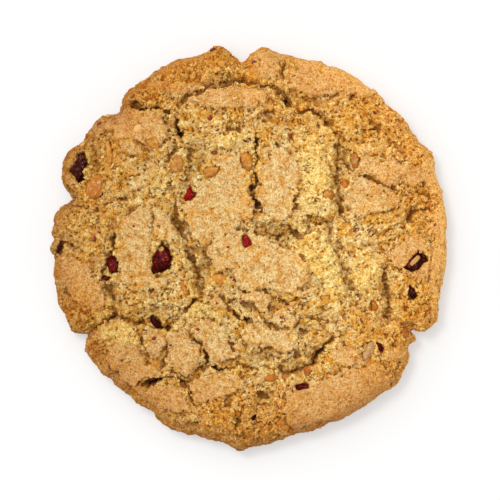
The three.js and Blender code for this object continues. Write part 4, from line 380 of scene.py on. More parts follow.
# Bits of nut: x, y, length, width, turn, paleness
NUT_BITS = (
    (9.9, 20.6, 1.8, 0.6, 75, 0.4), (6.4, 14.9, 1.1, 0.7, 20, 0.3), (-2.4, 9.4, 2.6, 1, -25, 0.7),
    (-0.9, 11.4, 1.8, 0.6, -40, 0.5), (0.6, 7.9, 1.6, 0.9, 20, 0.3), (-6.4, 16.1, 1.3, 0.7, 30, 0.6),
    (-12.9, 36.9, 2.4, 0.6, -15, 0.7), (-10.9, 38.4, 1.6, 0.6, 50, 0.5), (-3.4, 37.4, 1.5, 0.6, 25, 1),
    (14.6, 44.9, 1.8, 0.9, 30, 0.4), (23.6, 30.9, 1.6, 1, 0, 0.2), (27.9, 27.4, 1.4, 1, 50, 0.2),
    (29.9, 24.1, 1.3, 0.9, 20, 0.3), (26.6, 21.1, 1.2, 0.8, 0, 0.3), (30.4, 5.4, 1.6, 0.7, 40, 0.5),
    (17.6, 0.9, 1.1, 0.7, 0, 0.4), (7.9, -0.9, 1.6, 0.9, -10, 0.2), (3.4, -4.1, 1.1, 0.7, 0, 0.3),
    (-8.9, 27.9, 1.4, 0.7, 40, 0.4), (-16.4, -5.9, 1.3, 0.7, 60, 0.3), (-29.1, -13.6, 1.6, 0.8, 30, 0.4),
    (-10.4, -7.9, 1.2, 1, 0, 0.2), (-27.4, 29.9, 2.6, 1.9, 30, 0.6), (-41.4, 25.9, 1.4, 0.9, 40, 0.4),
    (-35.1, 33.1, 1.3, 0.9, 0, 0.3), (-46.1, -2.4, 1.2, 0.8, 0, 0.4), (10.9, -13.9, 1.6, 1, 10, 0.3),
    (13.4, -15.9, 2.4, 0.5, -35, 0.4), (20.9, -17.9, 1.2, 0.6, 30, 0.3), (25.9, -20.9, 1.3, 0.7, 0, 0.4),
    (-12.4, -18.6, 0.9, 0.6, 0, 0.3), (-19.6, -24.6, 1.2, 0.6, 0, 0.2), (3.6, -37.9, 1.3, 0.9, 20, 0.3),
    (6.9, -36.4, 1.4, 1.2, 0, 0.2), (0.4, -34.1, 1.5, 0.7, 20, 0.3), (-14.9, -40.4, 1.4, 0.8, 0, 0.4),
    (34.1, -12.9, 1.2, 0.8, 0, 0.3), (38.9, -26.2, 1.4, 0.9, 40, 0.3), (38.6, 8.4, 1.7, 0.6, 60, 0.9),
    (34.9, 6.9, 1.4, 0.6, 30, 0.5), (42.9, -0.9, 1.2, 0.6, 20, 0.7), (41.3, -3.4, 3.4, 0.9, 42, 0.9),
    (-21.9, -1.2, 1.2, 0.9, 0, 1), (-33.9, 20.6, 1.8, 0.6, 60, 0.7), (-39.6, 16.6, 3, 0.7, 50, 0.5),
    (-38.9, 14.6, 2.6, 0.6, 40, 0.6), (-2.9, -15.4, 1.1, 0.7, 20, 0.3), (-16.1, -10.1, 1.6, 0.6, 60, 0.4),
)

# Where the oven browned the crust: x, y, half length, half width, turn, strength
BROWNED = (
    (-15.4, 44.6, 15, 4, 22, 0.9), (-26.6, 38.4, 6, 4, 40, 0.8), (39.1, 29.6, 10, 4, -50, 0.8),
    (31.6, 34.1, 7, 3, -30, 0.7), (-0.4, 44, 4, 2.5, 0, 0.7), (10.6, 34.6, 8, 3, -10, 0.8),
    (42.9, 11.5, 4.5, 3, 0, 1), (42.4, -15.4, 4.5, 4, 0, 1), (38.8, -21.8, 2.5, 2.5, 0, 0.8),
    (37, -30.4, 2, 2, 0, 0.8), (-0.4, -42.4, 10, 5, 0, 0.7), (-42.8, -14.8, 4.5, 4.5, 0, 0.7),
    (-37.4, -26.6, 3, 5, 30, 0.6), (45, -20, 2.5, 6, 10, 1), (-38.4, 15.6, 3.5, 3.5, 0, 0.7),
    (-44.6, 22.6, 2.5, 4, -20, 0.7), (32.9, -32.9, 5, 4, 35, 0.5), (26.9, -16.6, 4, 3, 0, 0.4),
)

# How dark the rim is: direction in degrees, strength
DARK_RIM = (
    (0, 0.1), (60, 0.05), (90, 0.1), (110, 0.25), (135, 0.65), (165, 0.65), (200, 0.4), (260, 0.8),
    (290, 0.75), (320, 0.5), (340, 0.2), (360, 0.1),
)

# Painted light on the rim, strongest on the side away from the lamps: direction in degrees, strength
LIGHT_RIM = (
    (0, 1), (60, 0.7), (80, 0.1), (110, 0), (250, 0), (290, 0.1), (320, 0.4), (345, 0.8), (360, 1),
)

# Where the dough stayed pale: x, y, half length, half width, turn, strength
PALE = (
    (16.1, 19.1, 4, 10, 0, 0.9), (19.1, -3.9, 10, 4.5, -62, 0.9), (28.9, -6, 3.5, 5.5, 0, 0.8),
    (-5.2, 26.9, 4.5, 2.2, 0, 0.6), (-21.9, 16.1, 3, 4, 0, 0.5), (-32.6, -21.2, 4.5, 3, 0, 0.7),
    (-10.2, -15.6, 4.5, 2.2, -20, 0.6),
)

# ------------------------------------------------------------------ form


def smooth(value, low=0.0, high=1.0):
    """0 to 1 as a value goes from low to high, without corners."""
    t = np.clip((value - low) / (high - low), 0.0, 1.0)
    return t * t * (3 - 2 * t)


def hashed(i, j):
    """Whole numbers turned into an even spread of fractions, the same each time."""
    word = 0xFFFFFFFF
    h = (i * 374761393 + j * 668265263) & word
    h = ((h ^ (h >> 13)) * 1274126177) & word
    return (h ^ (h >> 16)) / (word + 1)


def swell(u, v, layer):
    """Smooth random relief between -1 and 1, one swell for each unit of length."""
    i = np.floor(u).astype(np.int64)
    j = np.floor(v).astype(np.int64)
    a, b = smooth(u - i), smooth(v - j)

    def corner(di, dj):
        return hashed(i + di + 57 * layer, j + dj - 91 * layer)

    near = corner(0, 0) + (corner(1, 0) - corner(0, 0)) * a
    far = corner(0, 1) + (corner(1, 1) - corner(0, 1)) * a
    return 2 * (near + (far - near) * b) - 1


def oval_reach(x, y, oval):
    """Distance from an oval's centre, where 1 is on the oval."""
    cx, cy, half_length, half_width, turn = oval[:5]
    c, s = math.cos(math.radians(turn)), math.sin(math.radians(turn))
    along = (x - cx) * c + (y - cy) * s
    across = (y - cy) * c - (x - cx) * s
    return np.hypot(along / half_length, across / half_width)


def ovals(x, y, rows, soft):
    """The strongest of some ovals' fields, each fading out past its rim."""
    field = np.zeros_like(x)
    for row in rows:
        field = np.maximum(field, row[5] * smooth(1 + soft - oval_reach(x, y, row)))
    return field


def inside_depth(x, y, outline):
    """How far inside an outline each point is, below 0 outside, and -FAR well away from it."""
    low, high = np.min(outline, 0) - 3, np.max(outline, 0) + 3
    close = (x > low[0]) & (x < high[0]) & (y > low[1]) & (y < high[1])
    px, py = x[close], y[close]
    nearest = np.full_like(px, FAR)
    inside = np.zeros(px.shape, bool)
    for (ax, ay), (bx, by) in zip(outline, outline[1:] + outline[:1]):
        dx, dy = bx - ax, by - ay
        t = np.clip(((px - ax) * dx + (py - ay) * dy) / (dx * dx + dy * dy), 0, 1)
        nearest = np.minimum(nearest, np.hypot(px - ax - dx * t, py - ay - dy * t))
        if dy:
            inside ^= ((ay > py) != (by > py)) & (px < ax + (py - ay) * dx / dy)
    depth = np.full_like(x, -FAR)
    depth[close] = np.where(inside, nearest, -nearest)
    return depth


def edge_radius(angle):
    """How far from its centre the cookie's edge is, in some directions."""
    direction = np.degrees(angle) % 360
    radius = np.full_like(direction, EDGE_RADIUS)
    for middle, reach, spread in EDGE:
        off = np.abs(direction - middle)
        radius += reach * np.exp(-((np.minimum(off, 360 - off) / spread) ** 2))
    arc = np.radians(direction) * EDGE_RADIUS / EDGE_GRAIN[0]
    return radius + EDGE_GRAIN[1] * swell(arc, np.zeros_like(arc), 5) * (1 - smooth(direction, *SMOOTH_EDGE))


def dome_section(steps):
    """Share of the radius, height and outward normal at even steps along the dome's section."""
    phi = np.linspace(0, math.pi / 2, SECTION_POINTS)
    share = np.sin(phi) ** (2 / DOME_POWER)
    z = BELLY + (CROWN - BELLY) * np.maximum(np.cos(phi), 0) ** (2 / DOME_POWER)
    run, fall = np.diff(share) * EDGE_RADIUS, -np.diff(z)
    length = np.concatenate(([0], np.cumsum(np.hypot(run, fall))))
    target = np.linspace(0, length[-1], steps + 1)
    k = np.clip(np.searchsorted(length, target, side="right") - 1, 0, len(run) - 1)
    whole = np.hypot(run[k], fall[k])
    return np.interp(target, length, share), np.interp(target, length, z), fall[k] / whole, run[k] / whole


def dome_height(x, y):
    """Height of the dome at a place inside the edge, before its relief."""
    dx, dy = x - EDGE_CENTRE[0], y - EDGE_CENTRE[1]
    share = np.minimum(np.hypot(dx, dy) / edge_radius(np.arctan2(dy, dx)), LAST_SHARE)
    return BELLY + (CROWN - BELLY) * (1 - share**DOME_POWER) ** (1 / DOME_POWER)


def crack_depth(x, y, crack):
    """How far a point lies under the surface because of a crack."""
    depth, slope, wall, route = crack
    nearest = np.full_like(x, np.inf)
    on_left = np.ones_like(x, bool)
    place = np.zeros_like(x)
    run = 0.0
    for (ax, ay), (bx, by) in zip(route, route[1:]):
        length = math.hypot(bx - ax, by - ay)
        ux, uy = (bx - ax) / length, (by - ay) / length
        along = np.clip((x - ax) * ux + (y - ay) * uy, 0, length)
        away = np.hypot(x - ax - ux * along, y - ay - uy * along)
        closer = away < nearest
        nearest = np.where(closer, away, nearest)
        on_left = np.where(closer, ux * (y - ay) - uy * (x - ax) >= 0, on_left)
        place = np.where(closer, run + along, place)
        run += length
    width = np.maximum(np.where(on_left, slope, wall), NARROWEST)
    run_out, end_depth = ROUTE_END
    ends = np.clip(np.minimum(place, run - place) / run_out, 0, 1)
    mean, change, least, most = UNBROKEN
    unbroken = np.clip(mean + change * swell(x / BREAK, y / BREAK, 51), least, most)
    core, steep = CORE
    profile = (1 - steep) * smooth(1 - nearest / width) + steep * smooth(1 - nearest / (width * core))
    return depth * unbroken * (end_depth + (1 - end_depth) * ends) * profile


def strayed(x, y, steps, layer):
    """How far something strays at a place, in swells of some sizes."""
    return sum(reach * swell(x / size, y / size, layer + k) for k, (size, reach) in enumerate(steps))


def plated(x, y, tear):
    """Rise of the plates and mounds, and how far a place is covered by unbroken crust."""
    rise = ovals(x, y, MOUNDS, OVAL_FADE)
    crust = np.zeros_like(x)
    for height, outline in PLATES:
        inside = smooth(inside_depth(x, y, outline) + tear, -PLATE_EDGE / 2, PLATE_EDGE / 2)
        rise = np.maximum(rise, height * inside)
        crust = np.maximum(crust, inside)
    return rise, crust * (1 - FLAKED_SHARE * smooth(strayed(x, y, FLAKED, 41), *FLAKED_FROM))


def bedded(x, y, tear):
    """Depth of the toppings' beds, and the highest that the dough may stand next to each topping."""
    bed = np.zeros_like(x)
    ceiling = np.full_like(x, np.inf)
    least, wall = BED
    stray, less = BED_STRAY
    for kind, rows in TOPPINGS.items():
        for k, (thickness, lift, _, outline) in enumerate(rows):
            inside = smooth(inside_depth(x, y, outline) + ROOM[kind] + stray * (tear - less), 0, wall)
            bed = np.maximum(bed, max(least, thickness * 0.5 - lift + BED_ROOM) * inside)
            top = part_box(f"{kind}_{k + 1}")[1][2] / MM
            ceiling = np.minimum(ceiling, top - SHOWN + FAR * (1 - inside))
    return bed, ceiling


def relief(x, y):
    """Height over the plain dome, with what the crust's look depends on at each point."""
    tear = strayed(x, y, TEAR, 12)
    wx, wy = x + strayed(x, y, WANDER, 21), y + strayed(x, y, WANDER, 31)
    rise, crust = plated(x, y, tear)
    fall = ovals(wx, wy, PITS, OVAL_FADE)
    for crack in CRACKS:
        fall = np.maximum(fall, crack_depth(wx, wy, crack))
    bed, ceiling = bedded(x, y, tear)
    hollow = ovals(wx, wy, HOLLOWS, OVAL_FADE) * (1 - crust)
    lift = rise - HOLLOW_DEPTH * hollow - np.maximum(fall, bed)
    for layer, (size, height, evened) in enumerate((LUMP, GRAIN), 1):
        lift = lift + height * swell(x / size, y / size, layer) * (1 - evened * crust)
    lift = np.minimum(lift, ceiling - dome_height(x, y))
    return lift, {"crust": crust * (1 - smooth(fall, *BARE)), "bed": bed, "low": hollow}


def dome_faces(first):
    """Facets of the dome, from each ring to the one inside it, by the number of each ring's first point."""
    faces = []
    for r in range(1, RINGS + 1):
        inner, outer = max(SPOKES * (r - 1), 1), SPOKES * r
        side, k = np.divmod(np.arange(outer), r)
        a = first[r] + side * r + k
        b = first[r] + (side * r + k + 1) % outer
        c = first[r - 1] + (side * (r - 1) + k) % inner
        d = first[r - 1] + (side * (r - 1) + k + 1) % inner
        faces.append(np.stack([a, b, c], 1))
        faces.append(np.stack([b, d, c], 1)[k < r - 1])
    return faces


def lower_belts(widest):
    """Radius and height of each ring of points below the widest level: rounded foot, then flat base."""
    belts = []
    for band in range(1, FOOT_BANDS + 1):
        turn_in = band / FOOT_BANDS * math.pi / 2
        belts.append((widest - FOOT_INSET * (1 - math.cos(turn_in)), BELLY * (1 - math.sin(turn_in))))
    for step in range(1, BASE_RINGS + 1):
        belts.append(((widest - FOOT_INSET) * (1 - step / (BASE_RINGS + 1)), 0.0))
    return belts


def look_fields(points, outward, looks):
    """What the dough's look depends on at each point. Those below the dome have no relief."""
    x, y, z = points.T
    direction = np.degrees(np.arctan2(y - EDGE_CENTRE[1], x - EDGE_CENTRE[0])) % 360
    near_edge = smooth(outward, RIM_FROM, 1)
    fields = {name: np.pad(values, (0, len(points) - len(values))) for name, values in looks.items()}
    return fields | {
        "browned": ovals(x, y, BROWNED, STAIN_FADE),
        "pale": ovals(x, y, PALE, STAIN_FADE),
        "toast": smooth(outward, TOAST_FROM, 1),
        "side": smooth(outward, SIDE_FROM, 1),
        "under": smooth(1 - z / BASE_BAND),
        "rim": near_edge * np.interp(direction, *zip(*DARK_RIM)),
        # painted light on the rim, on the side away from the lamps
        "light": near_edge * np.interp(direction, *zip(*LIGHT_RIM)),
        "rest": points,
    }


def dough_mesh():
    """The cookie's skin before its crumb, as one closed mesh with its fields as attributes."""
    share, height, out, up = dome_section(RINGS)
    sizes = [max(SPOKES * r, 1) for r in range(RINGS + 1)]
    ring = np.repeat(np.arange(RINGS + 1), sizes)
    first = np.concatenate(([0], np.cumsum(sizes[:-1])))
    angle = (np.arange(len(ring)) - first[ring]) / np.maximum(SPOKES * ring, 1) * 2 * math.pi
    reach = share[ring] * edge_radius(angle)
    x = EDGE_CENTRE[0] + reach * np.cos(angle)
    y = EDGE_CENTRE[1] + reach * np.sin(angle)
    lift, looks = relief(x, y)
    calm_from, calm = CALM_EDGE
    lift = lift * (1 - calm * smooth(share[ring], calm_from, 1))
    x = x + out[ring] * lift * np.cos(angle)
    y = y + out[ring] * lift * np.sin(angle)
    parts = [np.stack([x, y, height[ring] + up[ring] * lift], 1)]
    faces = dome_faces(first)

    around = SPOKES * RINGS
    turn = np.arange(around) / around * 2 * math.pi
    upper = first[RINGS] + np.arange(around)
    count = len(x)
    for radius, level in lower_belts(edge_radius(turn)):
        px, py = EDGE_CENTRE[0] + radius * np.cos(turn), EDGE_CENTRE[1] + radius * np.sin(turn)
        parts.append(np.stack([px, py, np.full(around, level)], 1))
        lower = count + np.arange(around)
        a, b, c, d = upper, np.roll(upper, -1), lower, np.roll(lower, -1)
        faces += [np.stack([a, c, b], 1), np.stack([b, c, d], 1)]
        upper = lower
        count += around
    parts.append(np.array([[*EDGE_CENTRE, 0.0]]))
    faces.append(np.stack([upper, np.full(around, count), np.roll(upper, -1)], 1))

    points = np.concatenate(parts)
    outward = np.concatenate([share[ring], np.ones(len(points) - len(x))])
    return mesh_object("dough", points, np.concatenate(faces), look_fields(points, outward, looks))


def mesh_object(name, points, faces, fields):
    """A mesh from arrays in millimetres, with its fields as attributes of its points."""
    mesh = bpy.data.meshes.new(name)
    mesh.vertices.add(len(points))
    mesh.vertices.foreach_set("co", (np.asarray(points, np.float32) * MM).ravel())
    if len(faces):
        mesh.loops.add(faces.size)
        mesh.loops.foreach_set("vertex_index", faces.astype(np.int32).ravel())
        mesh.polygons.add(len(faces))
        mesh.polygons.foreach_set("loop_start", np.arange(0, faces.size, 3, dtype=np.int32))
    mesh.update(calc_edges=True)
    for field, values in fields.items():
        values = np.asarray(values, np.float32)
        kind, key = ("FLOAT", "value") if values.ndim == 1 else ("FLOAT_VECTOR", "vector")
        mesh.attributes.new(field, kind, "POINT").data.foreach_set(key, values.ravel())
    return link(name, mesh)


def link(name, mesh):
    """A new object of a mesh, smooth shaded, in the scene."""
    mesh.polygons.foreach_set("use_smooth", np.ones(len(mesh.polygons), bool))
    made = bpy.data.objects.new(name, mesh)
    bpy.context.scene.collection.objects.link(made)
    return made


# ------------------------------------------------------------------ nodes as expressions


class Field:
    """A number that a node tree works out, on which arithmetic makes Math nodes."""

    def __init__(self, net, socket):
        self.net = net
        self.socket = socket

    def maths(self, operation, *values):
        return self.net.node("ShaderNodeMath", {"operation": operation}, dict(enumerate(values)))

    def top(self, other):
        return self.maths("MAXIMUM", self, other)

    def unsigned(self):
        return self.maths("ABSOLUTE", self)

    def ease(self, low, high):
        """0 to 1 as this goes from low to high, without corners."""
        settings = {"interpolation_type": "SMOOTHSTEP", "clamp": True}
        values = {"Value": self, "From Min": low, "From Max": high}
        return self.net.node("ShaderNodeMapRange", settings, values)


def arithmetic(operation, swapped):
    """A method of Field that makes one Math node, also with a plain number on the left."""
    if swapped:
        return lambda field, other: field.maths(operation, other, field)
    return lambda field, other: field.maths(operation, field, other)


for sign, operation in (("add", "ADD"), ("sub", "SUBTRACT"), ("mul", "MULTIPLY"), ("truediv", "DIVIDE")):
    setattr(Field, f"__{sign}__", arithmetic(operation, False))
    setattr(Field, f"__r{sign}__", arithmetic(operation, True))


MIDDLE = (0.5, 0.5, 0.5)  # the mean of noise that goes three ways


class Net:
    """A node tree that is written as expressions."""

    def __init__(self, tree):
        self.tree = tree

    def node(self, kind, settings=None, values=None, output=0):
        """One node: its settings first, then the values or links of its sockets."""
        made = self.tree.nodes.new(kind)
        for name, setting in (settings or {}).items():
            setattr(made, name, setting)
        for name, value in (values or {}).items():
            self.feed(made.inputs[name], value)
        return Field(self, made.outputs[output])

    def feed(self, socket, value):
        if isinstance(value, Field):
            self.tree.links.new(value.socket, socket)
        else:
            socket.default_value = value

    def vector(self, operation, a, b):
        return self.node("ShaderNodeVectorMath", {"operation": operation}, {0: a, 1: b})

    def scaled(self, vector, by):
        return self.node("ShaderNodeVectorMath", {"operation": "SCALE"}, {0: vector, "Scale": by})

    def tint(self, a, b, share, blend="MIX"):
        """Two colours mixed."""
        settings = {"data_type": "RGBA", "blend_type": blend, "clamp_factor": True}
        return self.node("ShaderNodeMix", settings, {0: share, 6: a, 7: b}, output=2)

    def coats(self, colour, **shares):
        """A colour with shades laid over it, each by its own share."""
        for name, share in shares.items():
            colour = self.tint(colour, paint(*SHADES[name]), share)
        return colour

    def noise(self, place, size, detail=2.0, rough=0.5, seed=0.0, distort=0.0):
        """Noise between 0 and 1 whose swells are "size" millimetres long."""
        settings = {"noise_dimensions": "4D"}
        values = {"Vector": place, "W": seed, "Scale": 1 / size, "Detail": detail, "Roughness": rough}
        return self.node("ShaderNodeTexNoise", settings, {**values, "Distortion": distort})

    def shaken(self, place, size, reach):
        """A place that strays by up to about "reach" in swells of "size"."""
        swing = self.node("ShaderNodeTexNoise", None, {"Vector": place, "Scale": 1 / size}, "Color")
        stray = self.scaled(self.vector("SUBTRACT", swing, MIDDLE), 2 * reach)
        return self.vector("ADD", place, stray)

    def cells(self, place, size):
        """Distance to the nearest of points scattered over the top, in shares of their spacing."""
        settings = {"feature": "F1", "voronoi_dimensions": "2D"}
        return self.node("ShaderNodeTexVoronoi", settings, {"Vector": place, "Scale": 1 / size})

    def pores(self, place):
        """Round pores, 1 in the middle of each and 0 between them."""
        chosen = self.noise(place, 2.6, 1.0, 0.5, seed=21.0).ease(0.54, 0.6)
        return self.cells(self.shaken(place, 0.5, 0.4), 1.35).ease(0.3, 0.12) * chosen


class Growth(Net):
    """A geometry tree with named inputs."""

    def __init__(self, name, inputs):
        super().__init__(bpy.data.node_groups.new(name, "GeometryNodeTree"))
        face = self.tree.interface
        face.new_socket("Geometry", in_out="INPUT", socket_type="NodeSocketGeometry")
        face.new_socket("Geometry", in_out="OUTPUT", socket_type="NodeSocketGeometry")
        for label, (kind, value) in inputs.items():
            made = face.new_socket(label, in_out="INPUT", socket_type="NodeSocket" + kind)
            if value is not None:
                made.default_value = value
        self.entry = self.tree.nodes.new("NodeGroupInput")
        self.exit = self.tree.nodes.new("NodeGroupOutput")

    def given(self, label):
        return Field(self, self.entry.outputs[label])

    def attribute(self, name, kind="FLOAT"):
        return self.node("GeometryNodeInputNamedAttribute", {"data_type": kind}, {"Name": name})

    def store(self, geometry, name, value, domain="POINT"):
        settings = {"data_type": "FLOAT", "domain": domain}
        values = {"Geometry": geometry, "Name": name, "Value": value}
        return self.node("GeometryNodeStoreNamedAttribute", settings, values)

    def millimetres(self):
        return self.scaled(self.node("GeometryNodeInputPosition"), 1 / MM)

    def moved(self, geometry, millimetres):
        """The geometry with each point moved along its normal."""
        off = self.scaled(self.node("GeometryNodeInputNormal"), millimetres * MM)
        return self.node("GeometryNodeSetPosition", None, {"Geometry": geometry, "Offset": off})

    def blurred(self, value, times, kind="FLOAT"):
        return self.node("GeometryNodeBlurAttribute", {"data_type": kind},
                         {"Value": value, "Iterations": times, "Weight": 1.0})

    def lumps(self, count, subdivisions, uneven):
        """Some uneven lumps about 1 in radius, as instances to pick from."""
        shapes = self.tree.nodes.new("GeometryNodeJoinGeometry")
        for variant in range(count):
            ball = self.node("GeometryNodeMeshIcoSphere", None, {"Radius": 1.0, "Subdivisions": subdivisions})
            values = {"Vector": self.node("GeometryNodeInputPosition"), "W": 5.0 + variant, "Scale": 0.9}
            push = self.node("ShaderNodeTexNoise", {"noise_dimensions": "4D"}, values, "Color")
            off = self.scaled(self.vector("SUBTRACT", push, MIDDLE), uneven)
            shape = self.node("GeometryNodeSetPosition", None, {"Geometry": ball, "Offset": off})
            kind = self.node("GeometryNodeGeometryToInstance", None, {"Geometry": shape})
            self.tree.links.new(kind.socket, shapes.inputs[0])
        return Field(self, shapes.outputs[0])

    def draw(self, kind, low, high, seed):
        """A random value for each point."""
        sockets = self.node("FunctionNodeRandomValue", {"data_type": kind}).socket.node
        index = {"FLOAT_VECTOR": 0, "FLOAT": 1, "INT": 2}[kind]
        self.feed(sockets.inputs[2 * index], low)
        self.feed(sockets.inputs[2 * index + 1], high)
        self.feed(sockets.inputs["Seed"], seed)
        return Field(self, sockets.outputs[index])

    def finish(self, geometry):
        """Real meshes, with their material, as what the tree gives out."""
        real = self.node("GeometryNodeRealizeInstances", None, {"Geometry": geometry})
        values = {"Geometry": real, "Material": self.given("Material")}
        coated = self.node("GeometryNodeSetMaterial", None, values)
        self.feed(self.exit.inputs["Geometry"], coated)
        return self.tree


class Finish(Net):
    """A material whose one shader is set by expressions."""

    def __init__(self, name, **constants):
        self.material = bpy.data.materials.new(name)
        self.material.use_nodes = True
        super().__init__(self.material.node_tree)
        self.shader = self.tree.nodes["Principled BSDF"]
        for label, value in constants.items():
            self.shader.inputs[label.replace("_", " ")].default_value = value
        place = self.node("ShaderNodeTexCoord", output="Object")
        self.place = self.scaled(place, 1 / MM)

    def attribute(self, name, output="Fac"):
        return self.node("ShaderNodeAttribute", {"attribute_name": name}, output=output)

    def set(self, **sockets):
        for label, value in sockets.items():
            self.feed(self.shader.inputs[label.replace("_", " ")], value)
        return self.material

    def bump(self, height, distance, strength=1.0):
        values = {"Height": height, "Distance": distance * MM, "Strength": strength}
        return self.node("ShaderNodeBump", None, values, output="Normal")


def grow(host, tree, name, **inputs):
    """The plain mesh that a geometry tree makes of a host object."""
    modifier = host.modifiers.new(name, "NODES")
    modifier.node_group = tree
    for item in tree.interface.items_tree:
        label = item.name.replace(" ", "_").lower()
        if item.in_out == "INPUT" and label in inputs:
            modifier[item.identifier] = inputs[label]
    view = bpy.context.evaluated_depsgraph_get()
    mesh = bpy.data.meshes.new_from_object(host.evaluated_get(view))
    host.modifiers.remove(modifier)
    mesh.name = name
    return link(name, mesh)


def paint(red, green, blue):
    """A colour as it shows on a screen, from 0 to 255, turned into light."""
    light = [((c / 255 + 0.055) / 1.055) ** 2.4 if c > 10 else c / 3294.6 for c in (red, green, blue)]
    return (*light, 1.0)


# ------------------------------------------------------------------ materials


# Colours of the baked dough, as they show on a screen
SHADES = {
    # torn crumb, with painted shade for its hollows and nooks and painted light for its tips
    "deep": (208, 146, 56), "cream": (248, 222, 154), "yolk": (248, 184, 52), "milky": (248, 220, 154),
    "golden": (234, 160, 48), "raw": (250, 222, 134), "amber": (234, 160, 48), "olive": (176, 136, 66),
    "tip": (252, 214, 122), "nook": (168, 116, 48),
    # unbroken crust
    "tan": (214, 154, 74), "sand": (234, 202, 138), "honey": (236, 172, 62), "biscuit": (222, 162, 90),
    "caramel": (222, 150, 50),
    # marks on both, with painted light for the rim and painted shade for pores, gaps, hollows and pits
    "dark_rim": (134, 72, 42), "light_rim": (252, 196, 108), "scorch": (188, 98, 30), "speck": (156, 80, 30),
    "dot": (140, 72, 30), "crease": (132, 66, 26), "pore": (118, 62, 20), "gap": (144, 84, 30),
    "hollow": (146, 104, 46), "pit": (72, 38, 16), "base": (176, 112, 58),
}
# What the colour is multiplied by, where the bake is strong and where it is mild
STRONG_BAKE, MILD_BAKE = (0.72, 0.42, 0.04, 1.0), (1.09, 1.2, 1.38, 1.0)
LOOKS = ("crust", "low", "bed", "browned", "pale", "toast", "under", "rim", "light", "hollow", "gap", "tone")


def crust_finish():
    """Baked crust: tan plates over golden crumb, browned patches, painted shade in pores and olive hollows,
    painted light on tips.
    """
    net = Finish("baked_crust", Roughness=0.85, Specular_IOR_Level=0.05)
    at = net.attribute("rest", "Vector")
    crust, low, bed, browned, pale, toast, under, rim, light, hollow, gap, tone = map(net.attribute, LOOKS)

    broad = net.noise(at, 6.0, 3.0, 0.55, seed=1.0)
    patch = net.noise(at, 1.9, 5.0, 0.65, seed=2.0)
    hue = net.noise(at, 1.1, 5.0, 0.7, seed=9.0)
    fine = net.noise(at, 0.42, 2.0, 0.75, seed=3.0).ease(0.4, 0.58)
    warm = hue + (broad - 0.5) * 0.8

    crumb = net.tint(paint(*SHADES["deep"]), paint(*SHADES["cream"]), patch.ease(0.36, 0.6))
    crumb = net.coats(
        crumb, yolk=warm.ease(0.5, 0.6) * 0.6, milky=broad.ease(0.48, 0.36) * 0.4, golden=toast * 0.55,
        # painted shade in the low hollows, painted light on convex crumb tops and painted shade in concave
        # places
        raw=pale * 0.6, amber=browned * 0.6, olive=low.ease(0.1, 0.8) * 0.45,
        tip=hollow.ease(-0.08, -0.35) * 0.5, nook=hollow.ease(0.08, 0.45) * 0.55)
    plate = net.tint(paint(*SHADES["tan"]), paint(*SHADES["sand"]), patch.ease(0.34, 0.56))
    plate = net.coats(plate, honey=warm.ease(0.53, 0.63) * 0.5, biscuit=toast * 0.8, caramel=browned * 0.6)
    colour = net.tint(crumb, plate, (crust + (hue - 0.5) * 1.2).ease(0.3, 0.7))
    # the rim darkened by direction, then painted light on the rim on the side away from the lamps
    colour = net.coats(colour, dark_rim=rim * (patch.ease(0.7, 0.4) * 0.3 + 0.45), light_rim=light * 0.85)
    mild = hue.ease(0.62, 0.42) * (0.45 - crust * 0.15) + fine * 0.45 + 0.08 + crust * 0.08
    colour = net.tint(colour, net.tint(STRONG_BAKE, MILD_BAKE, mild), 1.0, "MULTIPLY")

    scorch = net.noise(at, 1.7, 4.0, 0.65, seed=5.0).ease(0.52, 0.62) * (toast * 0.4 + browned * 0.6)
    speck = net.noise(at, 0.6, 4.0, 0.72, seed=6.0) + browned * 0.03 + toast * 0.01 - pale * 0.03
    speck = speck.ease(0.58, 0.65)
    dot = net.cells(net.shaken(at, 0.3, 0.3), 0.9).ease(0.26, 0.12)
    dot = dot * net.noise(at, 1.8, 2.0, 0.5, seed=22.0).ease(0.54, 0.64)
    crease = (net.noise(at, 1.5, 3.0, 0.6, seed=7.0) - 0.5).unsigned().ease(0.02, 0.005)
    crease = crease * net.noise(at, 1.3, 1.0, seed=8.0).ease(0.53, 0.59)
    pore = net.pores(at) * (1.0 - crust * 0.5) * (1.0 - pale * 0.5)
    colour = net.coats(
        colour, scorch=scorch * (1.0 - crust * 0.6), speck=speck * (0.85 - crust * 0.1),
        # painted shade darkens the pores, narrow crevices, concave places and, near black, the deepest
        # hollows and the beds round the toppings
        dot=dot * (0.12 + crust * 0.4), crease=crease * 0.75, pore=pore * 0.55,
        gap=gap.ease(0.08, 0.34) * (0.68 - pale * 0.25), hollow=hollow.ease(0.3, 0.9) * 0.35,
        pit=hollow.ease(0.9, 1.7).top(bed.ease(0.5, 1.0) * 0.6) * 0.6, base=under * 0.7)
    across = net.node("ShaderNodeSeparateXYZ", None, {0: at}, "X")
    # light brightens the rim further with painted light; across darkens the colour towards -x and lightens it
    # towards +x
    colour = net.scaled(colour, 0.94 + fine * 0.06 + tone * 0.12 + light * 0.08 + across * 0.0032)

    grit = 0.5 - net.cells(net.shaken(at, 0.4, 0.2), 0.5)
    height = fine * 0.3 + hue * (1.0 - crust * 0.4) + grit * (1.0 - crust * 0.6) - pore - speck * 0.5
    height = height * (1.0 - crust * 0.4) * (1.0 - pale * 0.4)
    return net.set(Base_Color=colour, Roughness=0.76 + fine * 0.1, Normal=net.bump(height, 0.25))


def nut_bit_finish():
    """Chopped nut, each bit of its own tone."""
    net = Finish("nut_bit", Roughness=0.85, Specular_IOR_Level=0.25)
    mottle = net.noise(net.place, 0.5, 2.0, 0.6, seed=8.0)
    colour = net.tint(paint(206, 136, 52), paint(236, 198, 128), net.attribute("tone"))
    return net.set(Base_Color=net.scaled(colour, 0.8 + mottle * 0.4), Normal=net.bump(mottle, 0.12, 0.8))


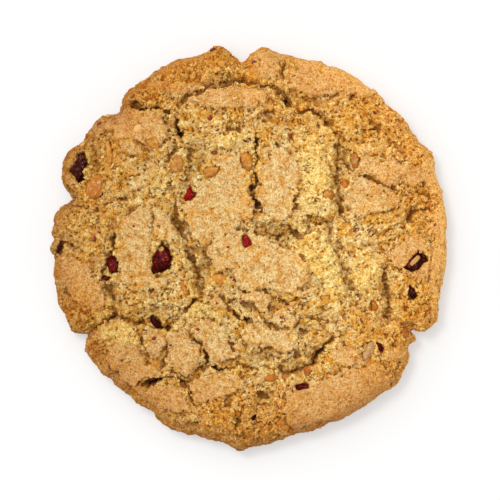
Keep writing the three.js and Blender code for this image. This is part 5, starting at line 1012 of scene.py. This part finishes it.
def fleck_finish():
    """Torn cranberry skin, thin and bright."""
    net = Finish("cranberry_fleck", Specular_IOR_Level=0.35, Roughness=0.45)
    mottle = net.noise(net.place, 0.4, 2.0, 0.6, seed=17.0)
    bright = net.attribute("tone") * 0.8 + (mottle - 0.5) * 0.8
    colour = net.tint(paint(84, 20, 16), paint(176, 42, 36), bright)
    return net.set(Base_Color=colour, Normal=net.bump(mottle, 0.12, 0.8))


# Bits of nut that stick to two cranberries: middle, radius
STUCK_BITS = (
    ((40.7, -3.8), 0.6), ((41.2, -3.3), 0.7), ((41.7, -2.8), 0.7), ((42.2, -2.3), 0.6), ((-21.8, -0.1), 0.7),
)


def cranberry_finish():
    """Dried cranberry: near black where it is thick, crimson where thin, with painted glints on its wrinkles.
    """
    net = Finish("dried_cranberry", Coat_Roughness=0.1, Specular_IOR_Level=0.06, Coat_Weight=0.03)
    mottle = net.noise(net.place, 1.3, 3.0, 0.6, seed=11.0)
    sugar = net.noise(net.place, 0.3, 2.0, 0.6, seed=12.0)
    thin = (net.attribute("tone") + (mottle - 0.5) * 1.1).ease(0.25, 0.9)
    colour = net.tint(paint(50, 5, 3), paint(142, 12, 14), thin)
    wrinkle = net.noise(net.place, 0.9, 2.0, 0.6, seed=13.0, distort=0.6) - 0.5
    # painted highlight along the ridges of the wrinkles
    glint = wrinkle.unsigned().ease(0.02, 0.004) * mottle.ease(0.48, 0.6)
    colour = net.tint(colour, paint(206, 132, 112), glint * 0.7)
    flat = net.vector("MULTIPLY", net.place, (1.0, 1.0, 0.0))
    for middle, radius in STUCK_BITS:
        values = {0: flat, 1: (*middle, 0.0)}
        away = net.node("ShaderNodeVectorMath", {"operation": "DISTANCE"}, values, "Value")
        stuck = (away / radius + mottle - 0.5).ease(1.0, 0.75)
        colour = net.tint(colour, paint(198, 150, 86), stuck)
    skin = net.bump(sugar * 0.4 + mottle, 0.25, 0.7)
    return net.set(Base_Color=colour, Roughness=0.2 + sugar * 0.3, Normal=skin)


def almond_finish():
    """Toasted almond of its own colour, browner on its rubbed skin, paler where it is broken."""
    net = Finish("toasted_almond", Specular_IOR_Level=0.2)
    grain = net.noise(net.place, 0.9, 3.0, 0.6, seed=14.0)
    fine = net.noise(net.place, 0.4, 2.0, 0.6, seed=15.0)
    skin = grain.ease(0.5, 0.62).top(net.attribute("steep").ease(0.4, 0.9))
    colour = net.tint(net.attribute("paint", "Vector"), paint(204, 128, 16), 0.25)
    colour = net.tint(colour, paint(168, 98, 34), skin * 0.6)
    colour = net.tint(colour, paint(246, 206, 130), grain.ease(0.46, 0.36) * 0.35)
    stuck = net.noise(net.place, 1.5, 2.0, 0.6, seed=16.0).ease(0.58, 0.64)
    crumb = net.tint(paint(206, 148, 70), paint(238, 200, 124), fine.ease(0.4, 0.6))
    colour = net.scaled(net.tint(colour, crumb, stuck * 0.65), 0.68 + fine * 0.4)
    height = grain + fine * 0.4 + stuck * 0.6
    return net.set(Base_Color=colour, Roughness=0.5 + grain * 0.2, Normal=net.bump(height, 0.3, 0.9))


# ------------------------------------------------------------------ geometry trees


def relief_tree():
    """Crumb, pores and fine roughness over the dough, and how deep each point then lies."""
    net = Growth("baked_relief", {
        "Clump size": ("Float", 3.2),
        "Clump height": ("Float", 1.4),
        "Grain size": ("Float", 1.05),
        "Grain height": ("Float", 0.2),
        "Grit size": ("Float", 0.8),
        "Grit height": ("Float", 0.3),
        "Pore depth": ("Float", 0.5),
        "Crevice size": ("Float", 2.6),
        "Crevice depth": ("Float", 0.9),
        "Seed": ("Float", 3.0),
        "Material": ("Material", None),
    })
    at = net.millimetres()
    side, crust = net.attribute("side"), net.attribute("crust")
    rough = (1.0 - crust * 0.8) * (1.0 - side * 0.15)
    skin = 1.0 - net.attribute("under")

    def layer(size, shift):
        values = {"Vector": at, "W": net.given("Seed") + shift, "Scale": 1.0 / net.given(size)}
        values |= {"Detail": 3.0, "Roughness": 0.6}
        return net.node("ShaderNodeTexNoise", {"noise_dimensions": "4D"}, values) - 0.5

    clump = layer("Clump size", 0.0) * net.given("Clump height") * 2.0
    grit = layer("Grit size", 9.0) * net.given("Grit height") * 2.0
    values = {"Vector": net.shaken(at, 0.6, 0.25), "Scale": 1.0 / net.given("Grain size")}
    cell = net.node("ShaderNodeTexVoronoi", {"voronoi_dimensions": "2D"}, values)
    grain = (0.5 - cell) * 2.0 * net.given("Grain height") * (1.0 - side)
    crevice = layer("Crevice size", 17.0).unsigned().ease(0.035, 0.0)
    crevice = crevice * layer("Clump size", 23.0).ease(-0.04, 0.04)
    depth = net.pores(at) * net.given("Pore depth") * (1.0 - crust * 0.6)
    depth = depth.top(crevice * net.given("Crevice depth") * (1.0 - crust * 0.85) * (1.0 - side * 0.5))
    height = (clump + grit + grain) * rough - depth
    body = net.moved(net.given("Geometry"), height * skin)

    level = net.node("ShaderNodeSeparateXYZ", None, {0: net.node("GeometryNodeInputPosition")}, "Z") / MM
    # how far each point lies below its neighbours, widely and narrowly; the crust's colour paints shade where
    # these are high and light where the wide one is below zero
    body = net.store(body, "hollow", net.blurred(level, 14) - level)
    body = net.store(body, "gap", net.blurred(level, 3) - level)
    return net.finish(body)


CM2 = 10000.0  # square centimetres in a square metre
LEAN, WHOLE_TURN = 0.6, 6.283  # how far a grain leans and turns, in radians


def scatter_tree():
    """Grains strewn over the crumb: a few shapes, each turned and sized at random."""
    net = Growth("strewn_grains", {
        "Each cm2": ("Float", 30.0),
        "Smallest": ("Vector", (0.3, 0.3, 0.3)),
        "Largest": ("Vector", (0.9, 0.7, 0.5)),
        "Sunk": ("Float", 0.2),
        "On crust": ("Float", 0.2),
        "On browned": ("Float", 0.0),
        "Brightness": ("Float", 0.0),
        "Seed": ("Int", 1),
        "Material": ("Material", None),
    })
    crust = net.attribute("crust").ease(0.1, 0.8)
    patch = net.noise(net.millimetres(), 4.0, 2.0, 0.5, seed=31.0).ease(0.35, 0.55)
    bare = 1.0 - net.attribute("bed").ease(0.5, 0.9)
    skin = (1.0 - net.attribute("under").ease(0.0, 0.3)) * bare
    wanted = (1.0 - crust) * patch + crust * net.given("On crust")
    wanted = wanted + net.attribute("browned") * net.given("On browned")
    density = net.given("Each cm2") * CM2 * wanted * skin
    strewn = net.node("GeometryNodeDistributePointsOnFaces", {"distribute_method": "RANDOM"},
                      {"Mesh": net.given("Geometry"), "Density": density, "Seed": net.given("Seed")})
    normal = Field(net, strewn.socket.node.outputs["Normal"])
    sink = net.scaled(normal, net.given("Sunk") * -MM)
    points = net.node("GeometryNodeSetPosition", None, {"Geometry": strewn, "Offset": sink})
    seed = net.given("Seed")
    spin = net.draw("FLOAT_VECTOR", (-LEAN, -LEAN, 0.0), (LEAN, LEAN, WHOLE_TURN), seed + 1)
    facing = net.node("FunctionNodeAlignRotationToVector", {"axis": "Z"}, {"Vector": normal})
    rotation = net.node("FunctionNodeRotateRotation", {"rotation_space": "LOCAL"}, {
        "Rotation": facing, "Rotate By": net.node("FunctionNodeEulerToRotation", None, {"Euler": spin})})
    size = net.draw("FLOAT_VECTOR", net.given("Smallest"), net.given("Largest"), seed + 2)
    grains = net.node("GeometryNodeInstanceOnPoints", None, {
        "Points": points, "Instance": net.lumps(4, 1, 1.1), "Pick Instance": True,
        "Instance Index": net.draw("INT", 0, 3, seed + 3), "Rotation": rotation,
        "Scale": net.scaled(size, MM / 2)})
    tone = net.draw("FLOAT", -1.0, 1.0, seed + 4) + net.given("Brightness")
    return net.finish(net.store(grains, "tone", tone, "INSTANCE"))


def placed_tree():
    """Flakes laid at a host's points, each of its own size and turn."""
    net = Growth("placed_flakes", {
        "Unevenness": ("Float", 0.8),
        "Seed": ("Int", 1),
        "Material": ("Material", None),
    })
    turn = net.node("FunctionNodeEulerToRotation", None, {"Euler": net.attribute("turn", "FLOAT_VECTOR")})
    flakes = net.node("GeometryNodeInstanceOnPoints", None, {
        "Points": net.given("Geometry"), "Instance": net.lumps(5, 2, net.given("Unevenness")),
        "Pick Instance": True, "Instance Index": net.draw("INT", 0, 4, net.given("Seed")),
        "Rotation": turn, "Scale": net.scaled(net.attribute("half", "FLOAT_VECTOR"), MM)})
    return net.finish(flakes)


def skin_tree():
    """A solid's skin with its corners rounded and folds over it."""
    net = Growth("folded_skin", {
        "Fineness": ("Int", 3),
        "Rounding": ("Int", 3),
        "Fold size": ("Float", 1.5),
        "Fold depth": ("Float", 0.3),
        "Material": ("Material", None),
    })
    values = {"Mesh": net.given("Geometry"), "Level": net.given("Fineness")}
    fine = net.node("GeometryNodeSubdivideMesh", None, values)
    place = net.blurred(net.node("GeometryNodeInputPosition"), net.given("Rounding"), "FLOAT_VECTOR")
    body = net.node("GeometryNodeSetPosition", None, {"Geometry": fine, "Position": place})
    fold = net.node("ShaderNodeTexNoise", None, {
        "Vector": net.millimetres(), "Scale": 1.0 / net.given("Fold size"), "Detail": 2.0, "Distortion": 0.8})
    ridge = 0.4 - (fold - 0.5).unsigned() * 4.0
    body = net.moved(body, ridge * net.given("Fold depth"))
    up = net.node("ShaderNodeSeparateXYZ", None, {0: net.node("GeometryNodeInputNormal")}, "Z")
    return net.finish(net.store(body, "steep", 1.0 - up))


# ------------------------------------------------------------------ pieces


def dress(piece, slot, *nodes):
    """Puts a finished piece on the body in place of CAD nodes, which it hides; the slot is not used."""
    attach(piece, "root")
    if nodes:
        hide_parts(*nodes)
    return piece


BOX_MARGIN = 0.02 * MM
SAME_POINT = 0.001 * MM  # corners of a solid that are nearer than this are one


def keep_in_box(piece):
    """Holds a piece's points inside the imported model's box."""
    points = np.empty(len(piece.data.vertices) * 3, np.float32)
    piece.data.vertices.foreach_get("co", points)
    low, high = np.array(CAD_LOW) + BOX_MARGIN, np.array(CAD_HIGH) - BOX_MARGIN
    low[2] = 0.0
    points = np.clip(points.reshape(-1, 3), low, high)
    piece.data.vertices.foreach_set("co", points.astype(np.float32).ravel())
    piece.data.update()
    return piece


def inset_mesh(name, kind, field, slot, material, **skin):
    """The pieces of a kind that are set in the dough, from their solids, each of its own look."""
    rows = TOPPINGS[kind]
    nodes = [f"{kind}_{k + 1}" for k in range(len(rows))]
    points, faces, looks = [], [], []
    for node, (_, _, look, _) in zip(nodes, rows):
        solid = bmesh.new()
        solid.from_mesh(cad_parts[node].data)
        bmesh.ops.remove_doubles(solid, verts=solid.verts, dist=SAME_POINT)
        solid.verts.index_update()
        faces += [[len(points) + corner.index for corner in face.verts] for face in solid.faces]
        looks += [paint(*look)[:3] if field == "paint" else look] * len(solid.verts)
        points += [corner.co / MM for corner in solid.verts]
        solid.free()
    host = mesh_object(name + "_form", np.array(points), np.array(faces), {field: looks})
    made = grow(host, skin_tree(), name, material=material, **skin)
    bpy.data.objects.remove(host)
    return dress(keep_in_box(made), slot, *nodes)


def flake_mesh(name, rows, thickness, material, slot, seed):
    """Thin flakes that lie on the dough."""
    x, y, length, width, turn, tone = np.array(rows, float).T
    z = dome_height(x, y) + relief(x, y)[0]
    none = np.zeros_like(x)
    fields = {"half": np.stack([length / 2, width / 2, none + thickness / 2], 1),
              "turn": np.stack([none, none, np.radians(turn)], 1), "tone": tone}
    host = mesh_object(name + "_places", np.stack([x, y, z], 1), np.zeros((0, 3), int), fields)
    made = grow(host, placed_tree(), name, seed=seed, material=material)
    bpy.data.objects.remove(host)
    return dress(keep_in_box(made), slot)


# Crumbs of three tones, strewn over the dough
CRUMBS = {
    "golden_crumbs": dict(each_cm2=118.0, smallest=(0.3, 0.3, 0.25), largest=(1.3, 0.9, 0.8), sunk=0.22,
                          on_crust=0.04, on_browned=0.2, seed=5, brightness=0.0),
    "pale_crumbs": dict(each_cm2=80.0, smallest=(0.25, 0.25, 0.2), largest=(0.9, 0.7, 0.6), sunk=0.14,
                        on_crust=0.08, on_browned=0.0, seed=25, brightness=1.2),
    "brown_crumbs": dict(each_cm2=60.0, smallest=(0.25, 0.25, 0.2), largest=(0.8, 0.6, 0.5), sunk=0.1,
                         on_crust=0.1, on_browned=0.8, seed=15, brightness=-2.0),
}


def make_cookie():
    """The baked dough with the crumbs on it."""
    dough = dough_mesh()
    crust = crust_finish()
    cookie = dress(keep_in_box(grow(dough, relief_tree(), "cookie_dough", material=crust)), "crust", "cookie")
    bpy.data.objects.remove(dough)
    scatter = scatter_tree()
    for name, inputs in CRUMBS.items():
        dress(keep_in_box(grow(cookie, scatter, name, material=crust, **inputs)), "crust")


def make_toppings():
    """Fruit and nut: the large pieces from their solids, the small ones laid on the dough."""
    inset_mesh("cranberries", "cranberry", "tone", "dried_fruit", cranberry_finish(),
               rounding=3, fold_size=1.3, fold_depth=0.2)
    inset_mesh("almond_pieces", "almond", "paint", "nut", almond_finish(),
               rounding=1, fold_size=1.4, fold_depth=0.22)
    flake_mesh("cranberry_flecks", FLECKS, 0.5, fleck_finish(), "dried_fruit", 4)
    flake_mesh("nut_bits", NUT_BITS, 0.8, nut_bit_finish(), "nut", 7)


# ------------------------------------------------------------------ stage

PHOTO_SIDE = 125.0  # width of what the camera sees, at the level of the edge
CAMERA_AIM = (0.375, -0.375)
LENS = 600.0
SENSOR = 36.0
NEAR = 0.01  # nearest that the camera sees, in metres

FLOOR_REACH = 3.0  # metres from the middle
FLOOR_PAINT, FLOOR_GLOW = (0.5, 0.5, 0.5, 1), 0.42
ROOM_LIGHT = 0.6
WHITE = (1, 1, 1, 1)
# Lamps: name, azimuth, elevation, strength, spread
LAMPS = (("soft_key", 135, 58, 1.2, 75), ("crisp_key", 135, 62, 1.0, 18))


def make_floor():
    """A plain pale floor, which glows a little so that it shows as white."""
    data = bpy.data.meshes.new("floor")
    corners = [(x * FLOOR_REACH, y * FLOOR_REACH, 0) for x, y in ((-1, -1), (1, -1), (1, 1), (-1, 1))]
    data.from_pydata(corners, [], [(0, 1, 2, 3)])
    floor = bpy.data.objects.new("floor", data)
    bpy.context.scene.collection.objects.link(floor)
    white = Finish("white_floor", Roughness=0.9, Specular_IOR_Level=0.0, Base_Color=FLOOR_PAINT,
                   Emission_Color=WHITE, Emission_Strength=FLOOR_GLOW)
    data.materials.append(white.material)


def make_stage():
    """Floor, camera straight above, and soft studio light from the upper left."""
    scene = bpy.context.scene
    scene.view_settings.view_transform = "Standard"
    scene.view_settings.look = "None"
    make_floor()

    camera = bpy.data.objects.new("camera", bpy.data.cameras.new("camera"))
    camera.data.lens = LENS
    camera.data.sensor_width = SENSOR
    camera.data.clip_start = NEAR
    rise = PHOTO_SIDE / 2 / (SENSOR / 2 / LENS) + BELLY
    camera.location = (CAMERA_AIM[0] * MM, CAMERA_AIM[1] * MM, rise * MM)
    scene.collection.objects.link(camera)
    scene.camera = camera

    for name, azimuth, elevation, strength, spread in LAMPS:
        lamp = bpy.data.lights.new(name, "SUN")
        lamp.energy = strength
        lamp.angle = math.radians(spread)
        made = bpy.data.objects.new(name, lamp)
        made.rotation_euler = (math.radians(90 - elevation), 0, math.radians(azimuth + 90))
        scene.collection.objects.link(made)
    scene.world = bpy.data.worlds.new("studio")
    scene.world.use_nodes = True
    room = scene.world.node_tree.nodes["Background"]
    room.inputs["Color"].default_value = WHITE
    room.inputs["Strength"].default_value = ROOM_LIGHT


make_cookie()
make_toppings()
make_stage()
